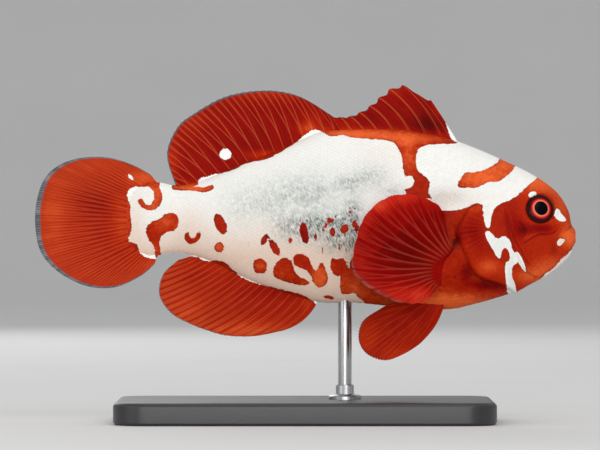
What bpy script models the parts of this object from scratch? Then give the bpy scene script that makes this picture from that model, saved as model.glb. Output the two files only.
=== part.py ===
"""A maroon clownfish of the lightning colour form, life size, swimming on a plain display stand.

Metres, +Z up. The fish faces +X, its right side is towards -Y, and the origin is on the ground
under the middle of its length. Its outline is drawn in two measures, both in hundredths of the
total length: "back", the distance behind the snout, and "up", the height above the body's axis.
"""

import math

import bmesh
import bpy
from mathutils import Vector

# Driving dimensions
TOTAL_LENGTH = 0.120
UNIT = TOTAL_LENGTH / 100  # one hundredth of the total length
AXIS_HEIGHT = 0.044  # of the body's axis above the ground
SEAM = 0.0003  # clearance between neighbouring pieces

# The body's stations: (back, up) of the upper profile, (back, up) of the lower one, half width.
STATIONS = (
    (0.0, -2.4, 0.0, -2.4, 0.0),  # tip of the lips
    (0.1, -0.9, 0.2, -3.9, 1.3),
    (0.5, 0.6, 0.7, -5.1, 2.2),
    (1.3, 2.6, 1.9, -6.7, 3.1),  # nostrils and chin
    (2.8, 5.4, 3.5, -8.1, 4.0),
    (5.0, 7.5, 5.4, -9.4, 4.8),
    (8.3, 9.6, 8.3, -11.0, 5.6),  # behind the eyes
    (13.0, 11.9, 13.0, -13.0, 6.3),
    (18.5, 14.3, 18.1, -14.5, 6.8),  # gill covers
    (24.1, 16.2, 23.7, -15.6, 7.0),  # first spine of the dorsal fin, roots of the pelvic fins
    (32.4, 17.6, 32.0, -15.2, 6.8),
    (40.7, 17.6, 40.7, -14.4, 6.4),
    (47.2, 17.2, 47.2, -14.3, 5.8),  # front of the anal fin
    (53.7, 14.4, 53.7, -12.5, 5.0),
    (60.2, 11.9, 60.2, -10.2, 4.1),
    (66.7, 9.2, 66.7, -7.0, 3.3),
    (71.3, 7.6, 71.3, -5.5, 2.7),  # tail stock
    (74.6, 7.4, 74.6, -5.1, 2.2),
    (77.2, 7.9, 77.2, -5.6, 1.7),
    (79.6, 7.9, 79.6, -5.6, 1.1),  # the end of the flesh, inside the tail fin's root
    (82.0, 6.0, 82.0, -3.8, 0.5),
)
RINGS_PER_STATION = 2
BODY_SIDES = 26
HEAD_FULLNESS, TAIL_FULLNESS = 0.86, 1.12  # exponents of the cross-sections: lower is fuller

# Seams between head, gill covers, trunk and tail stock
NAPE = ((27.0, 30.0), (25.6, 17.0), (23.2, 8.0))
GILL_EDGE = (
    (21.2, 3.4), (22.0, 0.6), (22.2, -1.3), (21.3, -3.9),
    (20.0, -6.9), (18.0, -9.4), (14.8, -11.3), (12.4, -12.4),
)
THROAT = ((11.2, -14.2), (10.6, -30.0))
CHEEK_EDGE = ((9.9, -10.4), (11.2, -6.1), (12.1, -2.8), (12.4, 0.6), (13.6, 3.8), (17.4, 4.4))
TAIL_SEAM = ((72.6, 30.0), (70.6, -30.0))
MOUTH_LINE = ((-2.0, -4.0), (0.6, -4.1), (2.9, -4.9), (4.3, -6.3), (5.4, -8.4), (5.8, -12.0))
GILL_COVER_DEPTH = 0.0013
GILL_RING = 10  # the ring of the loft that the covers' inner surface starts at

# Eyes and the spines below them
EYE = (6.6, 3.0)
EYE_RADIUS = 3.1
EYE_DEPTH = 1.5  # from its middle to the front of the cornea
EYE_PROUD = 0.6  # how far the cornea stands out of the cheek
CHEEK_SPINES = (((8.6, -0.9), (10.2, -2.9), 0.42), ((6.6, -1.2), (7.5, -2.2), 0.3))

# Fins: roots and margins, from the front ray to the last
SPINE_TIPS = (
    (23.7, 19.8), (25.9, 22.8), (28.9, 24.8), (31.7, 25.9), (34.3, 25.2),
    (36.2, 23.5), (38.0, 22.1), (39.8, 20.9), (42.2, 20.2), (44.8, 20.2),
)
SPINY_ROOT = ((21.9, 14.4), (31.0, 16.4), (45.2, 15.8))
WEB_NOTCH = 0.5  # how far the web dips between two spine tips
SOFT_ROOT = ((45.6, 15.8), (53.7, 13.0), (62.0, 9.8), (71.9, 6.2))
SOFT_MARGIN = (
    (45.5, 20.7), (55.4, 25.0), (62.2, 24.5), (69.3, 21.8), (74.3, 17.0), (75.6, 13.0), (73.8, 7.6),
)
ANAL_ROOT = ((47.6, -12.8), (56.0, -10.4), (63.0, -7.4), (70.0, -4.6))
ANAL_MARGIN = (
    (50.4, -17.6), (58.0, -20.4), (64.6, -20.5), (70.9, -18.7), (75.9, -15.0), (76.9, -11.9), (73.9, -6.6),
)
TAIL_ROOT = ((77.0, 7.4), (78.6, 1.2), (77.0, -5.1))
TAIL_MARGIN = (
    (82.4, 11.2), (86.5, 12.4), (91.3, 12.4), (95.7, 10.4), (98.9, 6.9), (100.0, 1.7),
    (99.5, -3.5), (96.9, -8.0), (92.6, -10.7), (87.8, -11.7), (82.8, -10.5),
)
PECTORAL_ROOT = ((22.7, -4.2), (23.3, -6.6), (24.1, -9.0), (24.9, -11.3))
PECTORAL_CENTRE, PECTORAL_RADIUS = (31.5, -4.6), 10.0
PECTORAL_ARC = (44, 286)  # degrees round that centre, from the first ray to the last
PECTORAL_REACH = 7.2  # how far the rim stands off the flank
PELVIC_ROOT = ((24.4, -14.6), (28.7, -14.4))
PELVIC_MARGIN = ((31.7, -23.5), (34.4, -24.8), (38.7, -23.3), (40.0, -20.3), (36.9, -16.1))
PELVIC_SPREAD = (1.7, 4.4)  # from the midline, at the root and at the margin
ROOT_THICKNESS, RIM_THICKNESS = 0.0013, 0.0006

# Stand
BASE_LENGTH, BASE_WIDTH, BASE_THICKNESS = 0.084, 0.050, 0.005
BASE_CORNER, BASE_BEVEL = 0.007, 0.0008
ROD_RADIUS = 0.0015
ROD_BACK = 42.6  # where it meets the belly, between the pelvic and anal fins


def place(back, up, across=0.0):
    """A point of the fish in metres. "across" is positive on its left side, towards +Y."""
    return Vector((TOTAL_LENGTH / 2 - back * UNIT, across * UNIT, AXIS_HEIGHT + up * UNIT))


def along(points, share):
    """The point at this share, 0 to 1, of a smooth curve through the points (Catmull-Rom)."""
    last = len(points) - 1
    step = min(int(share * last), last - 1)
    f = share * last - step
    before, start = points[max(step - 1, 0)], points[step]
    end, after = points[step + 1], points[min(step + 2, last)]
    return tuple(
        0.5 * (2 * b + (c - a) * f + (2 * a - 5 * b + 4 * c - d) * f**2 + (3 * b - a - 3 * c + d) * f**3)
        for a, b, c, d in zip(before, start, end, after)
    )


def section(share):
    """The body's cross-section at this share of its stations: top, bottom, half width, fullness."""
    top_back, top_up, low_back, low_up, width = along(STATIONS, share)
    fullness = HEAD_FULLNESS + (TAIL_FULLNESS - HEAD_FULLNESS) * min(1.0, 2 * share)
    return (top_back, top_up), (low_back, low_up), max(width, 0.0), fullness


def flank(back, up):
    """The body's half width at this point of its side view."""
    low, high = 0.0, 1.0
    for _ in range(30):
        share = (low + high) / 2
        top, bottom, width, fullness = section(share)
        low, high = (share, high) if (top[0] + bottom[0]) / 2 < back else (low, share)
    height = (2 * up - top[1] - bottom[1]) / (top[1] - bottom[1])
    return width * max(1 - height**2, 0.0) ** (fullness / 2)


def material(name, colour, roughness):
    made = bpy.data.materials.new(name)
    made.use_nodes = True
    shader = made.node_tree.nodes["Principled BSDF"]
    shader.inputs["Base Color"].default_value = (*colour, 1.0)
    shader.inputs["Roughness"].default_value = roughness
    shader.inputs["Metallic"].default_value = 0.0
    return made


def add_object(name, bm, finish=None):
    mesh = bpy.data.meshes.new(name)
    bm.to_mesh(mesh)
    bm.free()
    mesh.shade_smooth()
    mesh.set_sharp_from_angle(angle=math.radians(50))
    obj = bpy.data.objects.new(name, mesh)
    bpy.context.scene.collection.objects.link(obj)
    if finish:
        mesh.materials.append(finish)
    else:
        obj.hide_render = True
        obj.display_type = "WIRE"
    return obj


def boolean(obj, operation, other):
    modifier = obj.modifiers.new(f"{operation} {other.name}", "BOOLEAN")
    modifier.operation = operation
    modifier.object = other


def body(name, finish=None, grow=0.0, first=1):
    """The body as one closed loft of rings, swollen by "grow" metres, or a guide if it has no finish.
    It starts at the lips, or at the ring of that number."""
    bm = bmesh.new()
    rings = RINGS_PER_STATION * (len(STATIONS) - 1)
    loops = []
    for ring in range(first, rings + 1):
        top, bottom, width, fullness = section(ring / rings)
        loop = []
        for side in range(BODY_SIDES):
            angle = math.tau * side / BODY_SIDES
            rise, lean = (1 + math.sin(angle)) / 2, math.cos(angle)
            back = bottom[0] + (top[0] - bottom[0]) * rise
            up = bottom[1] + (top[1] - bottom[1]) * rise
            loop.append(bm.verts.new(place(back, up, math.copysign(width * abs(lean) ** fullness, lean))))
        loops.append(loop)
    if first == 1:
        lips = bm.verts.new(place(*STATIONS[0][:2]))
    else:
        bm.faces.new(loops[0])
    for side in range(BODY_SIDES):
        after = (side + 1) % BODY_SIDES
        if first == 1:
            bm.faces.new((lips, loops[0][side], loops[0][after]))
        for near, far in zip(loops, loops[1:]):
            bm.faces.new((near[side], far[side], far[after], near[after]))
    bm.faces.new(loops[-1])
    bmesh.ops.recalc_face_normals(bm, faces=bm.faces)
    bm.normal_update()
    for vertex in bm.verts:
        vertex.co += vertex.normal * grow
    return add_object(name, bm, finish)


def prism(name, outline, sides=(-20.0, 20.0)):
    """A cutter: a side-view outline of (back, up) points, carried across the fish between two offsets."""
    bm = bmesh.new()
    face = bm.faces.new([bm.verts.new(place(back, up, sides[0])) for back, up in outline])
    grown = bmesh.ops.extrude_face_region(bm, geom=[face])["geom"]
    far = [item for item in grown if isinstance(item, bmesh.types.BMVert)]
    bmesh.ops.translate(bm, verts=far, vec=(0, (sides[1] - sides[0]) * UNIT, 0))
    bmesh.ops.triangulate(bm, faces=[f for f in bm.faces if len(f.verts) > 4])
    bmesh.ops.recalc_face_normals(bm, faces=bm.faces)
    return add_object(name, bm)


def moved(points, back):
    return tuple((b + back, u) for b, u in points)


def swollen(outline, distance):
    """A closed outline moved outwards, each point along the mean direction of its two edges turned square."""
    area = sum(a[0] * b[1] - b[0] * a[1] for a, b in zip(outline, (*outline[1:], outline[0])))
    grown = []
    for number, (back, up) in enumerate(outline):
        before, after = outline[number - 1], outline[(number + 1) % len(outline)]
        run = Vector((after[0] - before[0], after[1] - before[1])).normalized()
        out = distance * math.copysign(1.0, area)
        grown.append((back + run.y * out, up - run.x * out))
    return tuple(grown)


def lens(name, centre, facing, radii, finish=None):
    """A flattened ball that faces out of the cheek. The radii are across the disc and along its depth."""
    bm = bmesh.new()
    bmesh.ops.create_uvsphere(bm, u_segments=24, v_segments=12, radius=1.0)
    bmesh.ops.scale(bm, verts=bm.verts, vec=(radii[0] * UNIT, radii[0] * UNIT, radii[1] * UNIT))
    bmesh.ops.rotate(bm, verts=bm.verts, matrix=facing.to_track_quat("Z", "Y").to_matrix())
    bmesh.ops.translate(bm, verts=bm.verts, vec=centre)
    return add_object(name, bm, finish)


def eyes(head, finish):
    """Both eyes, square to the cheek where they sit, and their sockets with a seam of clearance."""
    back, up = EYE
    reach = EYE_RADIUS / 2
    lean_back = (flank(back + reach, up) - flank(back - reach, up)) / (2 * reach)
    lean_up = (flank(back, up + reach) - flank(back, up - reach)) / (2 * reach)
    for name, side in (("right", -1), ("left", 1)):
        facing = Vector((lean_back, side, -lean_up)).normalized()
        centre = place(back, up, side * flank(back, up)) + facing * (EYE_PROUD - EYE_DEPTH) * UNIT
        lens(f"eye_{name}", centre, facing, (EYE_RADIUS, EYE_DEPTH), finish)
        clear = SEAM / UNIT
        socket = lens(f"socket_{name}", centre, facing, (EYE_RADIUS + clear, EYE_DEPTH + clear))
        boolean(head, "DIFFERENCE", socket)


def cheek_spines(head):
    """Two backward spines below each eye, which give this fish its name of spinecheek."""
    for side in (-1, 1):
        for number, (root, tip, radius) in enumerate(CHEEK_SPINES):
            start = place(*root, side * (flank(*root) - 0.3))
            end = place(*tip, side * (flank(*tip) + 0.35))
            bm = bmesh.new()
            bmesh.ops.create_cone(
                bm, cap_ends=True, segments=8, radius1=radius * UNIT, radius2=radius * UNIT / 4,
                depth=(end - start).length,
            )
            turn = (end - start).to_track_quat("Z", "Y")
            bmesh.ops.rotate(bm, verts=bm.verts, matrix=turn.to_matrix())
            bmesh.ops.translate(bm, verts=bm.verts, vec=(start + end) / 2)
            boolean(head, "UNION", add_object(f"cheek_spine_{number}_{side}", bm))


def flesh(skin, eye_finish):
    """Head, lower jaw, gill covers, trunk and tail stock: one loft parted by thin seams."""
    seam = SEAM / UNIT
    jaw_zone = (*MOUTH_LINE, (-2.0, -12.0))
    gill_zone = CHEEK_EDGE + GILL_EDGE

    head = body("head", skin)
    front = ((-3.0, 30.0), *NAPE, *GILL_EDGE, *THROAT, (-3.0, -30.0))
    boolean(head, "INTERSECT", prism("head_zone", front))
    boolean(head, "DIFFERENCE", prism("jaw_gap", swollen(jaw_zone, seam)))
    cheek_spines(head)
    eyes(head, eye_finish)

    jaw = body("lower_jaw", skin)
    boolean(jaw, "INTERSECT", prism("jaw_zone", jaw_zone))

    lining = body("gill_lining", grow=-GILL_COVER_DEPTH, first=GILL_RING)
    core = body("gill_core", grow=-GILL_COVER_DEPTH - SEAM, first=GILL_RING)
    for name, side in (("right", -1), ("left", 1)):
        pocket = prism(f"gill_pocket_{name}", swollen(gill_zone, seam), (side * 0.25, side * 20.0))
        boolean(pocket, "DIFFERENCE", core)
        boolean(head, "DIFFERENCE", pocket)
        cover = body(f"gill_cover_{name}", skin)
        boolean(cover, "INTERSECT", prism(f"gill_zone_{name}", gill_zone, (side * 0.5, side * 20.0)))
        boolean(cover, "DIFFERENCE", lining)

    trunk = body("trunk", skin)
    gill_side = moved((*NAPE, *GILL_EDGE, *THROAT), seam)
    boolean(trunk, "INTERSECT", prism("trunk_zone", (*gill_side, *reversed(TAIL_SEAM))))
    stock = body("tail_stock", skin)
    boolean(stock, "INTERSECT", prism("stock_zone", (*moved(TAIL_SEAM, seam), (90.0, -30.0), (90.0, 30.0))))


def fin(name, finish, clear, columns, rows, point):
    """A fin: a sheet of rays from root to rim, thickened more at its root, and cut back clear of the body.
    point(t, s) is its mid-plane in metres, t from the front ray to the last and s from root to rim."""
    bm = bmesh.new()
    layer = bm.verts.layers.deform.verify()
    grid = []
    for column in range(columns + 1):
        grid.append([bm.verts.new(point(column / columns, row / rows)) for row in range(rows + 1)])
        for row, vertex in enumerate(grid[-1]):
            share = row / rows
            vertex[layer][0] = 1 + (RIM_THICKNESS / ROOT_THICKNESS - 1) * min(1.0, 1.6 * share)
    for left, right in zip(grid, grid[1:]):
        for row in range(rows):
            bm.faces.new((left[row], right[row], right[row + 1], left[row + 1]))
    obj = add_object(name, bm, finish)
    obj.vertex_groups.new(name="thickness")
    thick = obj.modifiers.new("thickness", "SOLIDIFY")
    thick.thickness = ROOT_THICKNESS
    thick.offset = 0.0
    thick.vertex_group = "thickness"
    boolean(obj, "DIFFERENCE", clear)
    return obj


def ruled(root, margin, across=lambda t, s: 0.0):
    """A fin's mid-plane: straight rays from the root curve to the margin, set off the midline by across(t, s)."""
    def point(t, s):
        start, end = along(root, t), along(margin, t)
        back, up = (a + (b - a) * s for a, b in zip(start, end))
        return place(back, up, across(t, s))
    return point


def spiny_margin():
    """The spine tips with the web's dip between each two, as margin points."""
    points = []
    for tip, after in zip(SPINE_TIPS, SPINE_TIPS[1:]):
        points += [tip, ((tip[0] + after[0]) / 2, (tip[1] + after[1]) / 2 - WEB_NOTCH)]
    return (*points, SPINE_TIPS[-1])


def median_fins(finish, clear):
    tips = spiny_margin()
    fin("dorsal_fin_spiny", finish, clear, 2 * (len(tips) - 1), 4, ruled(SPINY_ROOT, tips))
    fin("dorsal_fin_soft", finish, clear, 20, 4, ruled(SOFT_ROOT, SOFT_MARGIN))
    fin("anal_fin", finish, clear, 20, 4, ruled(ANAL_ROOT, ANAL_MARGIN))
    fin("caudal_fin", finish, clear, 28, 5, ruled(TAIL_ROOT, TAIL_MARGIN))


def paired_fins(finish, clear):
    first, last = (math.radians(angle) for angle in PECTORAL_ARC)
    fan = [first + (last - first) * k / 10 for k in range(11)]
    rim = tuple(
        (PECTORAL_CENTRE[0] - PECTORAL_RADIUS * math.cos(a), PECTORAL_CENTRE[1] + PECTORAL_RADIUS * math.sin(a))
        for a in fan
    )
    for name, side in (("right", -1), ("left", 1)):
        def pectoral_across(t, s, side=side):
            root = flank(*along(PECTORAL_ROOT, t)) - 0.7
            return side * (root + PECTORAL_REACH * s * (0.7 + 0.3 * math.sin(math.pi * t)))

        def pelvic_across(t, s, side=side):
            near, far = PELVIC_SPREAD
            return side * (near + (far - near) * s)

        fin(f"pectoral_fin_{name}", finish, clear, 22, 5, ruled(PECTORAL_ROOT, rim, pectoral_across))
        fin(f"pelvic_fin_{name}", finish, clear, 12, 4, ruled(PELVIC_ROOT, PELVIC_MARGIN, pelvic_across))


def stand(finish, steel, clear):
    """A flat base with rounded corners, and one rod up to the belly."""
    bm = bmesh.new()
    bmesh.ops.create_cube(bm, size=1.0)
    bmesh.ops.scale(bm, verts=bm.verts, vec=(BASE_LENGTH, BASE_WIDTH, BASE_THICKNESS))
    bmesh.ops.translate(bm, verts=bm.verts, vec=(0, 0, BASE_THICKNESS / 2))
    upright = [e for e in bm.edges if abs(e.verts[0].co.z - e.verts[1].co.z) > BASE_THICKNESS / 2]
    bmesh.ops.bevel(bm, geom=upright, offset=BASE_CORNER, segments=6, profile=0.5, affect="EDGES")
    top = [e for e in bm.edges if min(v.co.z for v in e.verts) > BASE_THICKNESS * 0.99]
    bmesh.ops.bevel(bm, geom=top, offset=BASE_BEVEL, segments=2, profile=0.5, affect="EDGES")
    add_object("stand_base", bm, finish)

    foot = BASE_THICKNESS + SEAM
    head = place(ROD_BACK, -12.0)
    bm = bmesh.new()
    bmesh.ops.create_cone(
        bm, cap_ends=True, segments=20, radius1=ROD_RADIUS, radius2=ROD_RADIUS, depth=head.z - foot
    )
    bmesh.ops.translate(bm, verts=bm.verts, vec=(head.x, 0, (head.z + foot) / 2))
    boolean(add_object("stand_rod", bm, steel), "DIFFERENCE", clear)


def main():
    for old in list(bpy.data.objects):
        bpy.data.objects.remove(old)
    skin = material("skin", (0.50, 0.06, 0.02), 0.45)
    web = material("fins", (0.40, 0.03, 0.01), 0.5)
    eye = material("eyes", (0.03, 0.01, 0.01), 0.1)
    board = material("stand_board", (0.06, 0.06, 0.065), 0.5)
    steel = material("stand_steel", (0.55, 0.55, 0.56), 0.3)
    clear = body("body_clear", grow=SEAM)
    flesh(skin, eye)
    median_fins(web, clear)
    paired_fins(web, clear)
    stand(board, steel, clear)


main()
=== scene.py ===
import math

import bpy
import numpy as np
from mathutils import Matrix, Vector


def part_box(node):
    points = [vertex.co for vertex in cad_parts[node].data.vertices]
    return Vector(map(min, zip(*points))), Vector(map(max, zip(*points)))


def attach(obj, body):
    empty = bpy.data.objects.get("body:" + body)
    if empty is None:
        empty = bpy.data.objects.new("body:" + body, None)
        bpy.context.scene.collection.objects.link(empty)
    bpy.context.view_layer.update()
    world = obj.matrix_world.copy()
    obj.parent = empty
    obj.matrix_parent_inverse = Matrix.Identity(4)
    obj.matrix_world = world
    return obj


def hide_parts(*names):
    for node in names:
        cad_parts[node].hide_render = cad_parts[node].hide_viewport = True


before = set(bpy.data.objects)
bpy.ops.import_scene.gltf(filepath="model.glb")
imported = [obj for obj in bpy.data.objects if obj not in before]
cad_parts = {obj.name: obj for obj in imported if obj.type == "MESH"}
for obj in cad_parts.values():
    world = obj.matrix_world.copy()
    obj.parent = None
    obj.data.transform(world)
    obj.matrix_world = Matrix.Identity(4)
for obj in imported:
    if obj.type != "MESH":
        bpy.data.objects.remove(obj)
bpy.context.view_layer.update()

# A maroon clownfish of the lightning colour form, swimming on its display stand. The fish faces +X
# and its right side is towards -Y. As in the CAD, the side view is drawn in hundredths of the
# total length: "back" is the distance behind the snout, "up" the height above the body's axis.

EYE = (6.6, 3.0)
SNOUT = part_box("head")[1].x
UNIT = (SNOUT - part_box("caudal_fin")[0].x) / 100
AXIS = (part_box("eye_right")[0].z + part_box("eye_right")[1].z) / 2 - EYE[1] * UNIT
MM = 0.001
RIGHT, LEFT = -1, 1
SIDES = (("right", RIGHT), ("left", LEFT))
TINY = 1e-12

# ---------------------------------------------------------------- the body's measures

# (back, up) of the upper profile, (back, up) of the lower one, half width
STATIONS = np.array((
    (0.0, -2.4, 0.0, -2.4, 0.0),
    (0.05, -1.1, 0.2, -3.9, 1.3),
    (0.7, 0.3, 0.7, -5.1, 2.2),
    (1.2, 2.6, 1.9, -6.7, 3.1),
    (2.8, 5.4, 3.5, -8.1, 4.0),
    (5.0, 7.5, 5.4, -9.4, 4.8),
    (8.3, 9.6, 8.3, -11.0, 5.6),
    (13.0, 11.9, 13.0, -13.0, 6.3),
    (18.5, 14.3, 18.1, -14.5, 6.8),
    (24.1, 16.2, 23.7, -15.6, 7.0),
    (32.4, 17.6, 32.0, -15.2, 6.8),
    (40.7, 17.6, 40.7, -14.4, 6.4),
    (47.2, 17.2, 47.2, -14.3, 5.8),
    (53.7, 14.4, 53.7, -12.5, 5.0),
    (60.2, 11.9, 60.2, -10.2, 4.1),
    (66.7, 9.2, 66.7, -7.0, 3.3),
    (71.3, 7.6, 71.3, -5.5, 2.7),
    (74.6, 7.4, 74.6, -5.1, 2.2),
    (77.2, 7.9, 77.2, -5.6, 1.7),
    (79.6, 7.7, 79.6, -5.4, 1.1),
    (81.6, 6.7, 81.6, -4.5, 0.50),
    (83.2, 5.2, 83.2, -3.0, 0.10),
))
LAST_STATION = len(STATIONS) - 1
HEAD_FULLNESS, TAIL_FULLNESS = 0.86, 1.12  # exponents of the cross-sections: lower is fuller
FULLNESS_STATIONS = 10  # over which the one gives way to the other

# Seams and folds of the head, as lines in the side view, and what closes three of them to outlines
GILL_EDGE = (
    (19.4, 3.6), (20.7, 1.4), (22.1, -0.8), (22.2, -1.7), (21.4, -3.4), (20.4, -5.6),
    (19.7, -7.7), (18.4, -9.2), (17.0, -10.0), (14.2, -10.9), (12.0, -12.0), (10.4, -13.4),
)
CHEEK_EDGE = (
    (13.4, 4.0), (12.9, 2.2), (12.6, -0.3), (12.2, -2.2), (11.4, -4.2), (10.6, -6.2), (9.4, -8.3),
    (7.4, -9.6),
)
CHEEK_FOLD = ((12.2, 1.8), (11.7, -1.0), (10.9, -2.8), (9.9, -4.4), (9.2, -5.9), (8.3, -7.2))
MOUTH = ((-1.0, -3.3), (0.05, -3.6), (0.25, -4.0), (0.6, -4.5), (1.0, -5.0), (1.6, -5.6), (2.6, -6.3))
LIP_FOLD = ((0.8, -0.3), (1.5, -0.9), (2.9, -1.5), (3.7, -2.6), (3.9, -4.2), (3.4, -5.6))
JAW_FOLD = ((2.8, -6.5), (3.9, -7.6), (5.6, -8.9), (7.6, -10.0))
UNDER_EYE_FOLD = ((3.9, -0.9), (5.2, -1.4), (6.6, -1.3), (7.8, -1.8), (9.6, -2.9))
BEHIND_EYE_FOLD = ((10.0, 0.8), (9.0, -0.5), (8.8, -1.3), (9.4, -2.2))
TEAR_STREAKS = ((2.8, -0.7), (4.3, -2.4)), ((1.9, -0.8), (3.0, -2.0)), ((3.9, -0.6), (5.1, -1.9))
GILL_FRONT = ((6.0, -15.0), (4.0, 6.0))
CHEEK_FRONT = ((3.0, -9.0), (4.0, 3.0))
JAW_FRONT = ((-3.0, -3.0), (-3.0, 0.4))
GILL_PIT = (22.4, -3.3)
NOSTRIL = (4.3, 1.2)

# ---------------------------------------------------------------- white and red markings

FLANK_WHITE = (
    (76.9, 8.5), (75.2, 7.7), (74.0, 7.2), (71.6, 7.1), (69.8, 7.2), (69.8, 8.1), (69.1, 8.9), (68.1, 8.8),
    (67.2, 9.4), (65.2, 9.6), (63.0, 10.3), (60.7, 11.6), (58.7, 11.9), (56.9, 12.1), (54.4, 13.6),
    (51.9, 15.0), (50.2, 16.5), (49.1, 17.4), (48.0, 17.7), (46.7, 17.3), (45.9, 16.5), (44.6, 16.3),
    (43.3, 16.8), (42.0, 16.2), (38.1, 15.9), (34.6, 15.7), (33.3, 15.0), (32.2, 13.0), (31.9, 10.7),
    (31.7, 8.7), (30.9, 9.2), (30.0, 8.9), (29.8, 8.0), (30.4, 6.9), (31.7, 6.7), (32.8, 5.4), (35.4, 2.4),
    (38.0, -0.6), (39.4, -3.5), (40.4, -5.9), (41.5, -6.1), (41.7, -7.2), (41.9, -8.4), (42.3, -7.4),
    (42.5, -6.5), (42.7, -8.0), (43.5, -8.9), (43.5, -12.2), (43.1, -12.8), (41.9, -12.8), (40.6, -12.5),
    (40.4, -13.3), (39.3, -13.9), (38.7, -14.6), (41.7, -16.0), (47.6, -16.0), (48.0, -14.3), (50.9, -12.6),
    (56.7, -11.5), (61.3, -10.0), (63.0, -8.7), (64.6, -6.9), (66.1, -6.5), (68.5, -6.8), (69.8, -5.9),
    (71.3, -5.8), (73.1, -5.8), (76.5, -6.4), (79.6, -6.1), (80.7, -5.0), (81.1, -3.4), (82.8, -3.0),
    (82.4, -1.7), (82.0, -0.4), (82.4, 1.9), (82.2, 3.5), (82.8, 4.8), (83.0, 6.1), (81.7, 7.2),
    (80.2, 7.0), (78.7, 7.3),
)
NAPE_WHITE = (
    (29.6, 12.4), (29.3, 13.9), (27.8, 14.8), (25.0, 15.0), (22.8, 15.1), (21.5, 15.2), (20.7, 16.4),
    (17.6, 16.2), (13.9, 14.4), (10.2, 12.6), (6.5, 10.3), (6.9, 8.9), (7.3, 8.5), (8.7, 7.4), (10.7, 5.6),
    (12.0, 4.6), (14.0, 4.0), (15.2, 3.1), (15.6, 2.0), (15.9, -0.2), (16.3, -0.7), (17.0, 0.1), (17.3, 3.0),
    (17.6, 3.9), (18.5, 4.1), (19.4, 3.7), (20.4, 3.1), (22.2, 2.7), (24.6, 2.5), (26.3, 4.4), (27.4, 5.9),
    (26.9, 8.3), (28.0, 8.9), (29.4, 10.2),
)
CHEEK_BOLT = (
    (16.7, -1.1), (15.9, -1.1), (14.7, -2.7), (13.4, -1.8), (12.1, -3.0), (11.9, -4.4), (11.3, -5.3),
    (10.6, -6.9), (11.8, -7.5), (11.9, -9.4), (11.3, -10.6), (10.9, -12.8), (12.4, -13.2), (13.1, -10.0),
    (13.2, -7.0), (12.2, -6.5), (12.4, -4.8), (13.1, -4.1), (13.8, -4.6), (14.0, -6.3), (14.5, -6.1),
    (15.7, -4.1), (16.5, -2.7), (16.9, -1.6),
)
CHEEK_SLASH = ((11.35, -4.9), (11.4, -5.8), (10.6, -7.0), (9.6, -8.6), (9.0, -8.9), (9.9, -6.2), (10.7, -5.0))
SNOUT_FLECK = ((3.9, 2.3), (3.7, 3.0), (3.1, 3.0), (2.6, 2.0), (1.7, 1.0), (2.1, 0.6), (3.1, 0.7), (4.1, 1.5))
# A white spot on the orbit's upper rim, above and behind the eye
BROW_WHITE_SPOT = ((8.9, 5.5), (8.4, 6.15), (7.5, 6.2), (7.2, 5.5), (7.8, 5.1), (8.6, 5.0))
LIP_FLECK = ((3.5, -3.1), (3.1, -2.5), (1.8, -2.6), (2.6, -3.5), (3.0, -3.9), (3.4, -3.7))
CHIN_EDGE = (
    (0.0, -3.75), (0.4, -4.55), (0.85, -5.15), (1.4, -5.55), (2.1, -5.85), (2.6, -6.25), (3.0, -6.85),
    (3.6, -7.6), (4.7, -8.5), (6.3, -9.55), (6.3, -11.0), (4.3, -10.8), (2.0, -9.4), (-0.6, -6.6),
    (-0.8, -3.5),
)
# Hidden behind the fin on the breast, where the nape and flank whites run together
BREAST_WHITE = (
    (24.2, 3.2), (25.0, 2.5), (27.5, 2.5), (29.0, 1.6), (30.4, 0.5), (32.6, -1.0), (34.5, -3.0), (37.0, -5.0),
    (39.8, -7.0), (40.6, -5.9), (38.0, -0.6), (35.4, 2.6), (32.8, 5.6), (31.6, 6.7), (31.2, 4.6), (30.4, 3.4),
    (29.2, 3.3), (28.6, 4.2), (28.2, 5.0), (26.3, 4.8),
)
FIRST_SPINE = (
    (26.9, 23.6), (25.0, 23.6), (22.9, 20.4), (21.6, 17.6), (20.2, 15.4), (22.8, 15.4), (23.6, 18.0),
    (24.4, 20.4), (25.7, 22.0),
)
TAIL_FLECK = ((82.8, 9.4), (82.3, 9.4), (81.7, 8.7), (81.9, 8.3), (82.4, 8.6))
WHITES = (
    FLANK_WHITE, NAPE_WHITE, CHEEK_BOLT, CHEEK_SLASH, SNOUT_FLECK, BROW_WHITE_SPOT, LIP_FLECK, CHIN_EDGE,
    FIRST_SPINE, TAIL_FLECK, BREAST_WHITE,
)
SADDLE = (
    (13.7, 13.9), (14.1, 11.7), (15.9, 10.7), (17.8, 9.8), (20.4, 9.8), (21.1, 9.1), (22.2, 7.0),
    (21.1, 6.9), (18.9, 6.7), (17.2, 7.4), (16.1, 8.1), (14.3, 7.8), (12.8, 9.1), (11.4, 10.2), (10.4, 12.6),
)
TAIL_HOOK = (
    (79.3, 7.4), (78.6, 6.9), (78.0, 6.2), (77.8, 5.2), (78.1, 4.2), (78.8, 3.6), (79.5, 3.7), (79.8, 4.4),
    (80.2, 5.0), (80.8, 4.9), (80.9, 4.2), (80.4, 3.3), (79.4, 2.8), (78.2, 2.7), (77.1, 3.2), (76.4, 4.3),
    (76.3, 5.4), (76.8, 6.6), (76.9, 7.6), (76.8, 9.4), (79.2, 9.4),
)
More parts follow.
